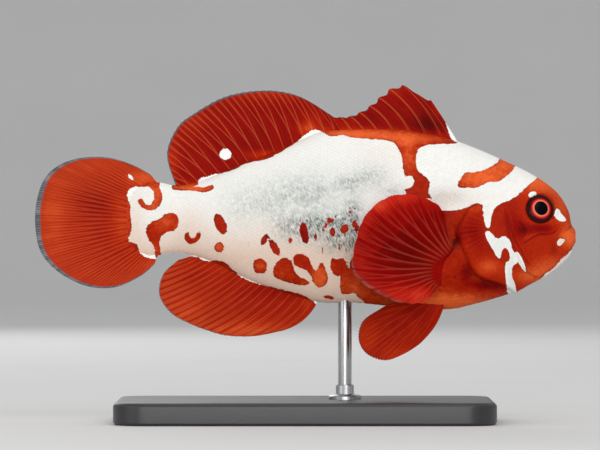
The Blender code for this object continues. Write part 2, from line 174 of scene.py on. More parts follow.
REDS = (
    SADDLE, TAIL_HOOK,
    (
        (79.6, -1.3), (78.9, 0.4), (76.8, 1.1), (75.5, 2.3), (73.9, 2.2), (73.1, 0.9), (73.7, -0.9),
        (75.0, -1.2), (76.3, -1.7), (76.9, -2.8), (76.8, -4.1), (76.5, -6.4), (77.7, -6.4), (77.8, -3.9),
        (79.1, -2.5),
    ),
    (
        (72.4, -2.4), (71.9, -3.3), (70.9, -3.7), (69.6, -3.0), (69.2, -1.9), (69.4, -1.1), (70.0, -1.3),
        (70.2, -2.3), (71.1, -2.5), (71.5, -1.3), (72.0, -1.3),
    ),
    (
        (59.6, -7.2), (59.1, -6.3), (58.3, -6.1), (57.4, -6.3), (56.9, -7.4), (57.2, -8.7), (58.3, -9.1),
        (59.4, -8.7),
    ),
    (
        (56.1, -8.2), (54.6, -6.1), (53.0, -6.1), (52.2, -7.4), (51.7, -9.3), (49.9, -10.0), (49.0, -10.8),
        (50.2, -11.3), (53.3, -10.6), (55.6, -9.8),
    ),
    (
        (52.2, -6.1), (51.7, -5.2), (49.4, -5.6), (48.7, -7.8), (47.8, -8.6), (47.1, -6.4), (46.0, -8.5),
        (45.6, -10.4), (46.9, -11.7), (48.3, -11.2), (49.0, -8.7), (50.7, -8.0), (52.0, -7.4),
    ),
    (
        (45.2, -6.1), (44.6, -5.9), (44.4, -6.5), (43.0, -5.9), (42.6, -6.5), (42.5, -8.1), (43.3, -9.3),
        (44.3, -9.6), (45.0, -8.7), (45.4, -8.0),
    ),
    ((46.9, -13.1), (45.6, -12.8), (44.3, -13.6), (45.6, -13.9)),
)
# Round marks: (back, up), half length, half height and how far they lean back per unit of height.
# Strokes: a line and its half width.
RED_DOTS = (
    ((65.6, 0.2), 1.1, 1.9, 0.3), ((65.8, -4.1), 0.9, 0.95, 0.0), ((57.5, -2.7), 0.6, 1.0, -0.4),
    ((55.6, -4.2), 0.75, 1.5, 0.4), ((52.7, -2.9), 0.45, 0.6, 0.0), ((50.1, -1.5), 0.8, 2.0, 0.1),
    ((48.1, -2.3), 0.33, 0.75, 0.0), ((44.9, -1.3), 0.55, 0.85, 0.0), ((42.7, -0.7), 0.75, 0.95, -0.2),
    ((41.0, 0.5), 0.3, 0.9, -0.3), ((40.4, -0.5), 0.35, 1.0, 0.0), ((60.2, -3.4), 0.2, 0.3, 0.0),
)
RED_STROKES = (
    (((74.2, 7.0), (70.2, 6.7), (68.4, 6.5), (67.3, 7.0)), 0.46),
    (((46.6, -0.9), (46.0, 0.2), (45.4, 1.1)), 0.28), (((45.2, 0.2), (44.7, 1.0), (44.2, 1.8)), 0.15),
    (((42.3, 1.2), (41.9, 2.2), (41.4, 3.1)), 0.16), (((43.8, -3.6), (43.6, -4.6)), 0.16),
    (((46.9, -4.2), (46.7, -5.2)), 0.14), (((41.0, 2.2), (40.7, 3.2)), 0.12),
)
FIN_SPOT = ((64.7, 13.1), 1.1, 1.0, 0.0)
EYE_RIM = 2.6  # the ring round the eye that stays red

# Level, then middle (back, up), half length, half height and amount of each change, for the red's warmth
# Among these, the darker blobs at (16.6, -11.2) and (20.2, -8.6) are painted shade under the gill cover's
# lower edge, and the lighter one at (16.2, -7.6) is a painted highlight where the lower gill cover catches
# light
SKIN_WARMTH_AND_SHADE = 0.52, (
    (6.4, 8.2, 4.8, 2.6, 0.44), (2.6, 3.4, 2.2, 3.4, 0.24), (1.2, -2.2, 1.9, 2.2, 0.46),
    (4.4, -7.4, 3.2, 1.9, 0.28), (8.2, -9.4, 3.4, 1.7, 0.36), (10.8, -0.6, 1.5, 2.2, -0.22),
    (6.6, -0.7, 3.0, 0.8, -0.34), (7.0, -4.0, 2.0, 1.6, 0.02), (12.6, 1.2, 1.5, 2.4, -0.12),
    (18.4, 3.0, 2.4, 1.0, 0.18), (19.0, -1.2, 1.9, 2.2, -0.22), (16.8, -4.0, 1.8, 1.8, -0.10),
    (16.2, -7.6, 2.6, 1.5, 0.26), (21.5, -1.8, 0.8, 1.6, -0.24), (16.6, -11.2, 3.2, 1.0, -0.40),
    (20.2, -8.6, 1.0, 1.8, -0.30), (21.6, -9.6, 1.6, 2.6, -0.06), (20.5, -14.2, 7.0, 2.0, 0.26),
    (17.4, 8.8, 4.5, 2.6, 0.46), (12.6, 11.6, 3.0, 2.0, 0.34), (9.8, -0.9, 0.8, 0.9, -0.22),
    (30.8, 12.5, 1.7, 3.6, 0.26), (33.0, 16.0, 4.5, 1.4, 0.32), (41.0, 16.9, 6.0, 1.2, 0.50),
    (27.0, 16.0, 4.0, 1.2, 0.20), (41.2, -11.4, 3.4, 2.4, 0.28), (28.0, -14.6, 9.0, 1.9, 0.48),
    (70.5, 6.9, 4.0, 0.9, 0.40), (58.3, -7.6, 1.4, 1.3, 0.22), (49.0, -11.0, 2.6, 1.0, 0.14),
    (47.3, -9.6, 1.9, 2.2, 0.34), (54.4, -8.6, 1.9, 1.8, 0.12), (65.9, -4.1, 1.3, 1.3, 0.32),
    (50.1, -1.5, 1.1, 2.2, -0.28), (75.8, 0.6, 2.8, 1.9, 0.20), (78.4, 5.2, 2.8, 3.6, 0.30),
    (77.6, -5.0, 1.4, 1.6, 0.20), (83.6, 1.0, 1.6, 5.0, 0.24),
)
# The same blobs for grey in the white
SKIN_GREY = (
    (37.6, 9.2, 3.4, 2.2, 0.50), (42.0, 7.6, 3.2, 1.8, 0.48), (47.5, 5.2, 4.0, 2.6, 0.42),
    (52.5, 5.2, 4.0, 2.8, 0.27), (57.5, 3.6, 3.4, 2.6, 0.22), (43.2, -0.6, 3.6, 3.2, 0.86),
    (49.0, -0.6, 3.8, 2.8, 0.80), (54.0, -0.4, 2.8, 3.0, 0.46), (41.0, 2.8, 1.6, 2.6, 0.64),
    (41.4, -3.8, 1.8, 2.8, 0.56), (45.0, -4.4, 2.6, 1.6, 0.30), (62.5, 1.8, 2.6, 2.2, 0.18),
    (25.6, 5.0, 2.2, 1.4, 0.30), (34.0, 6.2, 2.4, 1.2, 0.42), (29.4, 6.0, 1.4, 0.9, 0.5),
    (22.5, 5.5, 3.0, 1.8, 0.26), (14.5, -3.2, 2.0, 3.0, 0.20), (12.0, -9.0, 1.0, 4.0, 0.26),
    (48.0, 9.0, 6.0, 3.0, 0.18), (43.0, -3.0, 2.0, 1.4, 0.20), (48.0, 0.5, 2.0, 1.4, 0.16),
    (60.0, 5.0, 6.5, 3.6, 0.30), (53.0, 8.0, 5.0, 2.4, 0.14),
)
# And for cream in the white: on the flank, the tail's root, the nape's edge, the lip and the chin
SKIN_CREAM = (
    (57.0, 0.6, 10.0, 3.0, 0.16), (71.5, 0.0, 4.0, 3.6, 0.42), (81.5, 1.0, 2.0, 4.0, 0.30),
    (18.0, 5.2, 6.0, 1.0, 0.10), (2.7, -3.2, 1.2, 1.1, 0.55), (2.4, -6.6, 3.0, 1.8, 0.45),
    (24.0, 4.8, 3.4, 1.8, 0.30), (36.0, 13.0, 6.0, 2.4, 0.12),
)


# ---------------------------------------------------------------- lines and outlines


def segments(line, closed):
    """The line's points and the steps from each to the next, as two arrays."""
    line = np.asarray(line, float)
    ahead = np.roll(line, -1, 0) if closed else line[1:]
    start = line if closed else line[:-1]
    return start, ahead - start


def distance_to(back, up, line, closed=False):
    """Distance to a line: the least over its segments of the distance to the nearest point on each."""
    best = np.full(back.shape, np.inf)
    for (b, u), (run, rise) in zip(*segments(line, closed)):
        share = np.clip(((back - b) * run + (up - u) * rise) / max(run * run + rise * rise, TINY), 0, 1)
        best = np.minimum(best, np.hypot(back - b - share * run, up - u - share * rise))
    return best


def inside(back, up, outline):
    """True within a closed outline: a level ray from the point crosses it an odd number of times."""
    crossed = np.zeros(back.shape, bool)
    for (b, u), (run, rise) in zip(*segments(outline, True)):
        spans = (u > up) != (u + rise > up)
        crossed ^= spans & (back < b + (up - u) * run / (rise or TINY))
    return crossed


def depth_in(back, up, outline):
    """Signed distance to a closed outline, positive inside."""
    away = distance_to(back, up, outline, closed=True)
    return np.where(inside(back, up, outline), away, -away)


def rounded(outline):
    """An outline with its corners cut: each edge keeps its points at a quarter and three quarters."""
    line = np.asarray(outline, float)
    ahead = np.roll(line, -1, 0)
    return np.stack([0.75 * line + 0.25 * ahead, 0.25 * line + 0.75 * ahead], 1).reshape(-1, 2)


def depth_in_oval(back, up, oval):
    """Signed distance to a leaning ellipse, nearly: one less the scaled radius, by its smaller half axis."""
    (b, u), half_length, half_height, lean = oval
    across, above = (back - b - lean * (up - u)) / half_length, (up - u) / half_height
    return (1 - np.hypot(across, above)) * min(half_length, half_height)


def smooth(x, low, high):
    """Cubic step from 0 at low to 1 at high."""
    t = np.clip((x - low) / (high - low), 0, 1)
    return t * t * (3 - 2 * t)


def tone_at(back, up, level, blobs):
    """A level plus soft blobs: each its amount times exp of minus the squared distance in its half sizes."""
    return level + sum(
        amount * np.exp(-(((back - b) / half_length) ** 2) - ((up - u) / half_height) ** 2)
        for b, u, half_length, half_height, amount in blobs
    )


def along(points, share):
    """The points at these shares, 0 to 1, of a smooth curve through the given ones (Catmull-Rom)."""
    points = np.asarray(points, float)
    last = len(points) - 1
    place_on = np.clip(np.asarray(share, float), 0, 1) * last
    step = np.minimum(place_on.astype(int), last - 1)
    f = (place_on - step)[..., None]
    a, b = points[np.maximum(step - 1, 0)], points[step]
    c, d = points[step + 1], points[np.minimum(step + 2, last)]
    return 0.5 * (2 * b + (c - a) * f + (2 * a - 5 * b + 4 * c - d) * f**2 + (3 * b - a - 3 * c + d) * f**3)


def unit(vectors):
    """The vectors at length 1."""
    return vectors / np.maximum(np.linalg.norm(vectors, axis=-1, keepdims=True), TINY)


def run_along(points, axis):
    """Length run from the first point to each, along one axis of a grid of points."""
    steps = np.linalg.norm(np.diff(points, axis=axis), axis=-1)
    return np.concatenate([np.zeros_like(steps.take([0], axis)), np.cumsum(steps, axis)], axis)


# ---------------------------------------------------------------- the pattern


def left_side_shift(back, up, across):
    """The left flank's own pattern: the outlines are drawn on a view shifted by slow waves that fade to
    nothing at the midline and at the mouth, so the two sides meet along the back, the belly and the lips."""
    away = smooth(across, 0.4, 3.0) * smooth(back, 1.5, 6.5)
    sway = np.sin(0.21 * back + 0.9) + 0.5 * np.sin(0.47 * back + 0.31 * up)
    lift = np.sin(0.17 * back + 2.2) + 0.6 * np.sin(0.39 * back - 0.25 * up + 1.0)
    return back + away * 1.5 * sway, up + away * 1.1 * lift


def white_depth(back, up, across):
    """Depth inside the white markings in millimetres, negative in the red: the greatest depth in any white
    outline, less what the red islands take out of it. The eye's rim stays red."""
    back, up = left_side_shift(back, up, across)
    from_eye = np.hypot(back - EYE[0], up - EYE[1])
    chin = smooth(back, 6.0, 3.0) * smooth(np.abs(across), 2.2, 1.2) * smooth(up, -4.4, -5.4)
    up = up + 0.25 * chin * np.sin(2.6 * across + 0.7)  # a wavy edge under the chin
    white = np.maximum.reduce([depth_in(back, up, rounded(outline)) for outline in WHITES])
    white = np.where(from_eye < EYE_RIM, -1.0, white)
    reds = [depth_in(back, up, rounded(outline)) for outline in REDS]
    reds += [depth_in_oval(back, up, oval) for oval in RED_DOTS]
    reds += [half_width - distance_to(back, up, line) for line, half_width in RED_STROKES]
    white = np.minimum(white, -np.maximum.reduce(reds))
    return np.maximum(white, depth_in_oval(back, up, FIN_SPOT)) * UNIT / MM


def markings(back, up, across):
    """The pattern at side-view points: depth in the white, warmth of the red with painted shade and highlight
    about the gill cover, grey and cream in the white.
    """
    white = white_depth(back, up, across)
    back, up = left_side_shift(back, up, across)
    grey = tone_at(back, up, 0.06 + 0.08 * smooth(back, 26, 40), SKIN_GREY)
    belly = 0.80 * smooth(up, 2.0, -6.5) * smooth(back, 26, 38)
    cream = tone_at(back, up, 0.10 + belly + 0.10 * smooth(back, 76, 82), SKIN_CREAM)
    return {
        "white": white, "warm": tone_at(back, up, *SKIN_WARMTH_AND_SHADE),
        "grey": np.clip(grey, 0, 1), "cream": np.clip(cream, 0, 1),
    }


# ---------------------------------------------------------------- the body's surface


def place(back, up, across):
    """Metres in the frame from side-view measures and the distance across, all in units."""
    return np.stack(np.broadcast_arrays(SNOUT - back * UNIT, across * UNIT, AXIS + up * UNIT), -1)


def fullness_at(station):
    """The cross-section's exponent, from the head's to the tail's."""
    return HEAD_FULLNESS + (TAIL_FULLNESS - HEAD_FULLNESS) * np.minimum(1, station / FULLNESS_STATIONS)


def body_side_view(station, angle):
    """Back, up and across of the body's surface at a station number and an angle round the section: 0 is
    the left flank, a quarter turn the back, a half turn the right flank. Height goes with the sine,
    width with a power of the cosine."""
    row = along(STATIONS, station / LAST_STATION)
    rise, lean = (1 + np.sin(angle)) / 2, np.cos(angle)
    back = row[..., 2] + (row[..., 0] - row[..., 2]) * rise
    up = row[..., 3] + (row[..., 1] - row[..., 3]) * rise
    across = np.sign(lean) * np.maximum(row[..., 4], 0) * np.abs(lean) ** fullness_at(station)
    return back, up, across


def flank(back, up, side):
    """Distance across of the body's surface at side-view points: the station is found by halving."""
    back, up = np.broadcast_arrays(np.asarray(back, float), np.asarray(up, float))
    low, high = np.zeros(back.shape), np.full(back.shape, float(LAST_STATION))
    for _ in range(30):
        middle = (low + high) / 2
        row = along(STATIONS, middle / LAST_STATION)
        rise = np.clip((up - row[..., 3]) / np.maximum(row[..., 1] - row[..., 3], 1e-6), 0, 1)
        ahead = row[..., 2] + (row[..., 0] - row[..., 2]) * rise < back
        low, high = np.where(ahead, middle, low), np.where(ahead, high, middle)
    row = along(STATIONS, low / LAST_STATION)
    height = np.clip((2 * up - row[..., 1] - row[..., 3]) / (row[..., 1] - row[..., 3]), -1, 1)
    return side * row[..., 4] * (1 - height**2) ** (fullness_at(low) / 2)


# ---------------------------------------------------------------- making pieces

U_SPAN, V_SPAN, POLE_U = (0.03, 0.97), (0.01, 0.99), 0.005  # where rings lie on the map, and the first pole


def enclosed(points, faces):
    """Six times the volume inside the faces, positive when they look outwards: the sum over their triangles
    of one corner times the cross product of the other two."""
    total = 0.0
    for part in faces:
        for k in range(1, part.shape[1] - 1):
            first, second, third = (points[part[:, corner]] for corner in (0, k, k + 1))
            total += np.einsum("ij,ij", first, np.cross(second, third))
    return total


def new_object(name, points, faces, finish):
    """A smooth object in the scene from points and arrays of faces."""
    mesh = bpy.data.meshes.new(name)
    mesh.from_pydata(points.tolist(), [], [face for part in faces for face in part.tolist()])
    mesh.materials.append(finish)
    mesh.shade_smooth()
    made = bpy.data.objects.new(name, mesh)
    bpy.context.scene.collection.objects.link(made)
    return made


def add_piece(name, points, faces, corner_uv, finish, values, replaces=(), sharp=None):
    """A piece of the model from points, faces of corner numbers, a map position for each corner and values
    on points. Faces that would look inwards are all turned round. Edges that bend by more than this many
    degrees stay sharp."""
    if enclosed(points, faces) < 0:
        faces, corner_uv = [part[:, ::-1] for part in faces], [part[:, ::-1] for part in corner_uv]
    piece = new_object(name, points, faces, finish)
    mesh = piece.data
    uv = np.concatenate([part.reshape(-1, 2) for part in corner_uv]).astype(np.float32)
    mesh.uv_layers.new(name="OFBake").uv.foreach_set("vector", uv.ravel())
    for label, numbers in values.items():
        attribute = mesh.attributes.new(label, "FLOAT", "POINT")
        attribute.data.foreach_set("value", np.asarray(numbers, np.float32).ravel())
    if sharp:
        mesh.set_sharp_from_angle(angle=math.radians(sharp))
    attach(piece, "root")
    if replaces:
        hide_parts(*replaces)


def across_span(span, share):
    """The number at this share of the way from a span's start to its end."""
    return span[0] + (span[1] - span[0]) * share


def ring_faces(rings, spokes, u_span, v_span, first=0):
    """Faces between closed rings of points numbered ring by ring, and their corners' map positions."""
    i, j = np.meshgrid(np.arange(rings - 1), np.arange(spokes), indexing="ij")
    i, j = i.ravel(), j.ravel()
    corner_i = np.stack([i, i + 1, i + 1, i], 1)
    corner_j = np.stack([j, j, j + 1, j + 1], 1)
    faces = first + corner_i * spokes + corner_j % spokes
    u, v = across_span(u_span, corner_i / (rings - 1)), across_span(v_span, corner_j / spokes)
    return faces, np.stack([u, v], -1)


def fanned(rings, spokes, first=0):
    """Faces and map positions of closed rings with a fan to a pole at each end. The poles are numbered
    after the rings' points: the first ring's, then the last ring's."""
    quads, quad_uv = ring_faces(rings, spokes, U_SPAN, V_SPAN, first)
    j = np.arange(spokes)
    ahead, tail = (j + 1) % spokes, first + (rings - 1) * spokes
    pole = np.full(spokes, first + rings * spokes)
    near = np.stack([first + j, first + ahead, pole], 1)
    far = np.stack([tail + ahead, tail + j, pole + 1], 1)
    v = across_span(V_SPAN, np.stack([j, j + 1, j + 0.5], 1) / spokes)
    near_uv = np.stack([np.broadcast_to((U_SPAN[0], U_SPAN[0], POLE_U), v.shape), v], -1)
    far_uv = np.stack([np.broadcast_to((U_SPAN[1], U_SPAN[1], 1 - POLE_U), v.shape), v[:, [1, 0, 2]]], -1)
    return [quads, near, far], [quad_uv, near_uv, far_uv]


def rings_about(centres, first, second, spokes):
    """Rings of points: a centre plus the turn's cosine times one vector and its sine times another."""
    turn = math.tau * np.arange(spokes)[:, None] / spokes
    return centres[:, None] + np.cos(turn) * first[:, None] + np.sin(turn) * second[:, None]


def turned_rings(profile, spokes, x=0.0):
    """Rings of a profile of (radius, height) carried round an upright axis at x."""
    radius, height = np.asarray(profile, float).T[..., None]
    centres = np.hstack([0 * radius + x, 0 * radius, height])
    return rings_about(centres, radius * (1, 0, 0), radius * (0, 1, 0), spokes)


def with_poles(grid, near, far):
    """A grid's points in one list, with the two poles of its fans at its end."""
    return np.vstack([grid.reshape(-1, 3), near, far])


def grid_normals(points, closed):
    """Unit normals of a grid of points: the cross product of its steps along rows and round columns."""
    if closed:
        round_columns = np.roll(points, -1, 1) - np.roll(points, 1, 1)
    else:
        round_columns = np.gradient(points, axis=1)
    return unit(np.cross(np.gradient(points, axis=0), round_columns))


# ---------------------------------------------------------------- shader maths


def worked(operation, *numbers, clamp=False):
    """A Math node of this kind over these numbers, at least one of them a Value."""
    tree = next(number.tree for number in numbers if isinstance(number, Value))
    node = tree.nodes.new("ShaderNodeMath")
    node.operation, node.use_clamp = operation, clamp
    for slot, number in zip(node.inputs, numbers):
        if isinstance(number, Value):
            tree.links.new(number.socket, slot)
        else:
            slot.default_value = number
    return Value(tree, node.outputs[0])


class Value:
    """A number that changes over the surface: a socket, with the sums that shaders need."""

    def __init__(self, tree, socket):
        self.tree, self.socket = tree, socket

    def __add__(self, other):
        return worked("ADD", self, other)

    def __sub__(self, other):
        return worked("SUBTRACT", self, other)

    def __mul__(self, other):
        return worked("MULTIPLY", self, other)

    def __truediv__(self, other):
        return worked("DIVIDE", self, other)

    def __rsub__(self, other):
        return worked("SUBTRACT", other, self)

    def __rtruediv__(self, other):
        return worked("DIVIDE", other, self)

    __radd__, __rmul__ = __add__, __mul__

    def step(self, low, high):
        """Smooth step from 0 at low to 1 at high, either way round."""
        t = worked("MULTIPLY_ADD", self, 1 / (high - low), -low / (high - low), clamp=True)
        return t * t * (3.0 - 2.0 * t)

    def cap(self):
        """Kept between 0 and 1."""
        return worked("ADD", self, 0.0, clamp=True)

    def size(self):
        """Without its sign."""
        return worked("ABSOLUTE", self)


class Finish:
    """A material under construction: one Principled shader and the nodes that feed it."""

    def __init__(self, name, roughness, **constants):
        self.material = bpy.data.materials.new(name)
        self.material.use_nodes = True
        self.tree = self.material.node_tree
        self.shader = self.tree.nodes["Principled BSDF"]
        self.shader.inputs["Roughness"].default_value = roughness
        for socket, value in constants.items():
            self.shader.inputs[socket.replace("_", " ")].default_value = value

    def node(self, kind, settings=None, **sockets):
        """A node of this kind. Its settings are set first, then its sockets' values or links. A socket goes
        by its name, or by i and its number where names repeat."""
        node = self.tree.nodes.new(kind)
        for setting, value in (settings or {}).items():
            setattr(node, setting, value)
        for name, value in sockets.items():
            slot = node.inputs[int(name[1:])] if name[0] == "i" and name[1:].isdigit() else node.inputs[name]
            if isinstance(value, Value):
                value = value.socket
            if isinstance(value, bpy.types.NodeSocket):
                self.tree.links.new(value, slot)
            else:
                slot.default_value = value
        return node

    def read(self, name):
        """The piece's own value of this name."""
        return Value(self.tree, self.node("ShaderNodeAttribute", {"attribute_name": name}).outputs["Fac"])

    def noise_at(self, where, detail):
        """Noise from -1 to 1 at a place."""
        node = self.node("ShaderNodeTexNoise", Vector=where, Scale=1.0, Detail=detail)
        return (Value(self.tree, node.outputs["Fac"]) - 0.5) * 2.0

    def noise(self, size_mm, detail=2.0, stretch=(1, 1, 1), lean=0.0):
        """Noise of this feature size, stretched along the axes after leaning by an angle in the side view."""
        where = self.node("ShaderNodeTexCoord").outputs["Object"]
        leaned = self.node("ShaderNodeMapping", Vector=where, Rotation=(0, math.radians(lean), 0))
        scale = [1 / MM / size_mm * k for k in stretch]
        scaled = self.node("ShaderNodeMapping", Vector=leaned.outputs["Vector"], Scale=scale)
        return self.noise_at(scaled.outputs["Vector"], detail)

    def streaks(self, turn, reach, fineness, detail=2.0):
        """Noise drawn out along a fin's rays."""
        along_ray = self.node("ShaderNodeCombineXYZ", X=turn * fineness, Y=reach * 1.6)
        return self.noise_at(along_ray.outputs["Vector"], detail)

    def mix(self, share, a, b):
        """Colour a where share is 0 and b where it is 1."""
        settings = {"data_type": "RGBA", "blend_type": "MIX", "clamp_factor": True}
        colours = [(*c, 1.0) if isinstance(c, tuple) else c for c in (a, b)]
        return self.node("ShaderNodeMix", settings, i0=share, i6=colours[0], i7=colours[1]).outputs[2]

    def tinted(self, colour, amount):
        """The colour times 1 + amount in brightness."""
        scaled = self.node("ShaderNodeVectorMath", {"operation": "SCALE"}, i0=colour, Scale=amount + 1.0)
        return scaled.outputs["Vector"]

    def colour(self, socket):
        """Feeds the surface's colour."""
        self.tree.links.new(socket, self.shader.inputs["Base Color"])

    def rough(self, value):
        """Feeds the surface's roughness, kept between 0 and 1."""
        self.tree.links.new(value.cap().socket, self.shader.inputs["Roughness"])

    def bump(self, height, depth_mm, strength=1.0):
        """Feeds relief to the shading: a height of 1 stands this many millimetres proud."""
        node = self.node("ShaderNodeBump", Height=height, Distance=depth_mm * MM, Strength=strength)
        self.tree.links.new(node.outputs["Normal"], self.shader.inputs["Normal"])


def srgb(red, green, blue):
    """Linear colour from display values of 0 to 255."""
    shares = (red / 255, green / 255, blue / 255)
    return tuple(c / 12.92 if c <= 0.04045 else ((c + 0.055) / 1.055) ** 2.4 for c in shares)


# ---------------------------------------------------------------- finishes

MAROON, DEEP_RED, BRICK, ORANGE = srgb(88, 3, 3), srgb(144, 11, 4), srgb(182, 42, 8), srgb(240, 104, 50)
BODY_REDS = MAROON, DEEP_RED, BRICK, ORANGE
BREAST_REDS = srgb(96, 2, 2), srgb(150, 5, 3), srgb(198, 34, 18), srgb(226, 84, 52)  # of the breast fins
COOL_WHITE, CREAM, GREY_GREEN = srgb(250, 251, 247), srgb(238, 206, 184), srgb(114, 136, 134)
# The last of these is the dark red of the shade painted into the head's folds
SOOT, INK, FOLD_SHADE_RED = srgb(58, 46, 44), srgb(24, 12, 14), srgb(70, 5, 4)
# The rays' pale lines at the root and further out, and the rims' bands between the rays and on them
WEB_RAYS, WEB_EDGES = [srgb(228, 116, 70)] * 2, (srgb(72, 76, 82), srgb(138, 146, 154))
BREAST_RAYS, BREAST_EDGES = (srgb(150, 84, 56), srgb(186, 72, 54)), (srgb(130, 40, 32), srgb(162, 86, 76))
PUPIL = srgb(4, 3, 6)
NO_TONE = 0.5  # the own tone of skin without scales: neither lighter nor darker
# Where each ring of the eye takes over, in mm from its middle, and its colour
EYE_RINGS = (
    (1.54, 1.62, srgb(248, 120, 96)), (1.76, 1.98, srgb(216, 50, 40)), (2.08, 2.26, srgb(122, 10, 10)),
    (2.34, 2.54, srgb(46, 15, 13)), (3.14, 3.26, srgb(104, 20, 12)),
)
# Share of a ray's width by which its arms part, and the shares of its length between which they part
FORKS = ((0.25, 0.10, 0.50), (0.125, 0.38, 0.80), (0.0625, 0.62, 1.0))


def red_by_warmth(f, tone, reds=BODY_REDS):
    """The first red at 0, the second at a third, the third at two thirds and the last at 1."""
    red = f.mix(tone.step(-0.05, 0.36), reds[0], reds[1])
    red = f.mix(tone.step(0.26, 0.68), red, reds[2])
    return f.mix(tone.step(0.56, 1.06), red, reds[3])


def skin_finish(name, scaly):
    """Markings by depth in the white: red ramps from maroon to orange, white from cool to cream with a
    grey-green hatch and dark dashes, and an ink line where they meet. Each scale has its own tone, shifts
    the boundary a little and has a darker rim. Painted shade darkens the folds, and a painted highlight
    lightens their lips."""
    f = Finish(name, 0.46, Specular_IOR_Level=0.04)
    grey, fold, own = f.read("grey"), f.read("fold"), f.read("own") - NO_TONE
    depth = f.read("white") + f.noise(0.5, 2.0) * 0.13 + f.noise(1.5, 1.0) * 0.12 + own * 0.16
    mask = depth.step(-0.08, 0.08)
    red = red_by_warmth(f, f.read("warm") + f.noise(3.4, 2.0) * 0.07 + f.noise(0.55, 2.0) * 0.10 + own * 0.09)
    hatch = (f.noise(0.42, 2.0, (1.5, 1.0, 0.45), 28.0) * 0.60 + 0.5 + own * 0.45) * grey
    dash = f.noise(0.5, 1.0, (1.7, 1.0, 0.5), 20.0).step(-0.02, 0.32) * grey.step(0.50, 1.0)
    pale = f.mix(f.read("cream"), COOL_WHITE, CREAM)
    pale = f.mix((hatch * 1.05).cap(), pale, GREY_GREEN)
    pale = f.mix(dash * 0.75, pale, SOOT)
    line = (1.0 - ((depth + 0.12).size() / 0.16).cap()) * f.noise(3.2, 1.0).step(-0.22, 0.28)
    base = f.mix(line * 0.7, f.mix(mask, red, pale), INK)
    # Painted shade: the folds go towards a dark red, less on the white, and where the fold shade is below 0 a
    # painted highlight lightens the skin
    base = f.mix((fold * (0.9 - mask * 0.6)).cap(), base, FOLD_SHADE_RED)
    base = f.tinted(base, worked("MINIMUM", fold, 0.0) * -0.8 + f.noise(0.32, 2.0) * (0.16 - mask * 0.11))
    if scaly:
        base = f.tinted(base, f.read("rim") * -0.07 + own * 0.08 + 0.02)
        f.bump(f.noise(0.12, 1.0, (0.3, 1, 1)), 0.012)
    else:
        f.bump(f.noise(0.30, 3.0) + f.noise(1.6, 2.0) * 0.5, 0.022)
    f.colour(base)
    f.rough(f.noise(0.9, 2.0) * 0.06 + 0.46 - mask * 0.05)
    return f.material


def fin_finish(name, reds, rays, body, lines, edges):
    """Fin web and rays. A ray's arms are found by folding the place across it: the distance from the middle
    less each fork's share, without its sign. On each arm lie two fine pale lines over a paler body, and
    between the arms the web is darker. The edge colours take over in a band along the rim, the second of
    them on the rays' tips."""
    f = Finish(name, 0.5, Specular_IOR_Level=0.03)
    turn, reach, on_ray = f.read("turn"), f.read("reach"), f.read("paleness")
    arm = (worked("FRACT", turn) - 0.5).size()
    for share, start, end in FORKS:
        arm = (arm - reach.step(start, end) * share * f.read("forked")).size()
    away = arm * f.read("pitch")
    line = 1.0 - (away - f.read("gap")).size().step(0.01, 0.11)
    flesh = 1.0 - away.step(0.06, 0.32)
    streak = (f.streaks(turn, reach, 7.0) + f.streaks(turn, reach, 2.6, 3.0)) * on_ray.step(0.0, 0.08)
    tone = f.read("warm") + f.noise(2.2, 2.0) * 0.06 + f.noise(0.4, 2.0) * 0.05 + streak * 0.14 + flesh * 0.06
    red = red_by_warmth(f, tone - 0.03, reds)
    red = f.mix((flesh * body + line * lines).cap() * on_ray, red, f.mix(reach.step(0.02, 0.25), *rays))
    mask = (f.read("white") + f.noise(0.5, 2.0) * 0.20 + streak * 0.22).step(-0.08, 0.08)
    edge = 1.0 - (f.read("rim") - f.read("band") + streak * 0.22).step(-0.12, 0.12)
    base = f.mix(edge * 0.95, f.mix(mask, red, COOL_WHITE), f.mix((line * 0.8 + streak * 0.8).cap(), *edges))
    f.colour(base)
    f.bump(line * 0.6 + f.noise(0.3, 2.0) * 0.25, 0.03)
    return f.material


def eye_finish():
    """Rings by distance from the middle: pupil, bright ring, red ring, dark red, then brown-black and red."""
    f = Finish("eye_gloss", 0.24, Coat_Weight=0.02, Coat_Roughness=0.05, Specular_IOR_Level=0.05)
    r = f.read("ring") + f.noise(0.6, 2.0) * 0.04
    base = PUPIL
    for start, end, colour in EYE_RINGS:
        base = f.mix(r.step(start, end), base, colour)
    f.colour(f.tinted(base, f.noise(0.35, 2.0) * 0.22))
    return f.material


def plinth_finish():
    """Black satin with a fine grain and a broad cloudiness."""
    f = Finish("black_satin", 0.38, Coat_Weight=0.15, Coat_Roughness=0.3)
    speck, cloud = f.noise(0.35, 3.0), f.noise(18.0, 3.0)
    base = f.mix((cloud * 0.5 + 0.5).cap(), srgb(34, 34, 37), srgb(52, 51, 54))
    f.colour(f.tinted(base, speck * 0.12))
    f.rough(speck * 0.07 + cloud * 0.05 + 0.40)
    f.bump(speck, 0.02, 0.6)
    return f.material


def steel_finish():
    """Steel brushed round the post: noise drawn out across its length."""
    f = Finish("brushed_steel", 0.28, Metallic=1.0)
    brushed = f.noise(0.25, 3.0, (1, 1, 0.03))
    base = f.mix((brushed * 0.5 + 0.5).cap(), srgb(168, 168, 170), srgb(196, 196, 198))
    f.colour(f.tinted(base, brushed * 0.05))
    f.rough(brushed * 0.08 + 0.28)
    f.bump(brushed, 0.01, 0.4)
    return f.material


def paper_finish():
    """Pale paper, faintly clouded."""
    f = Finish("pale_paper", 0.9)
    f.colour(f.mix((f.noise(60.0, 2.0) * 0.5 + 0.5).cap(), srgb(222, 222, 220), srgb(227, 227, 225)))
    return f.material


# ---------------------------------------------------------------- the head's relief, and the shade painted into its folds

# Each feature gives its height in millimetres and the shade painted into its folds, about 1 at the darkest
# and below 0 a painted highlight where the skin is paler. Places and widths are in the side view's units.
HEAD_END = 24.5
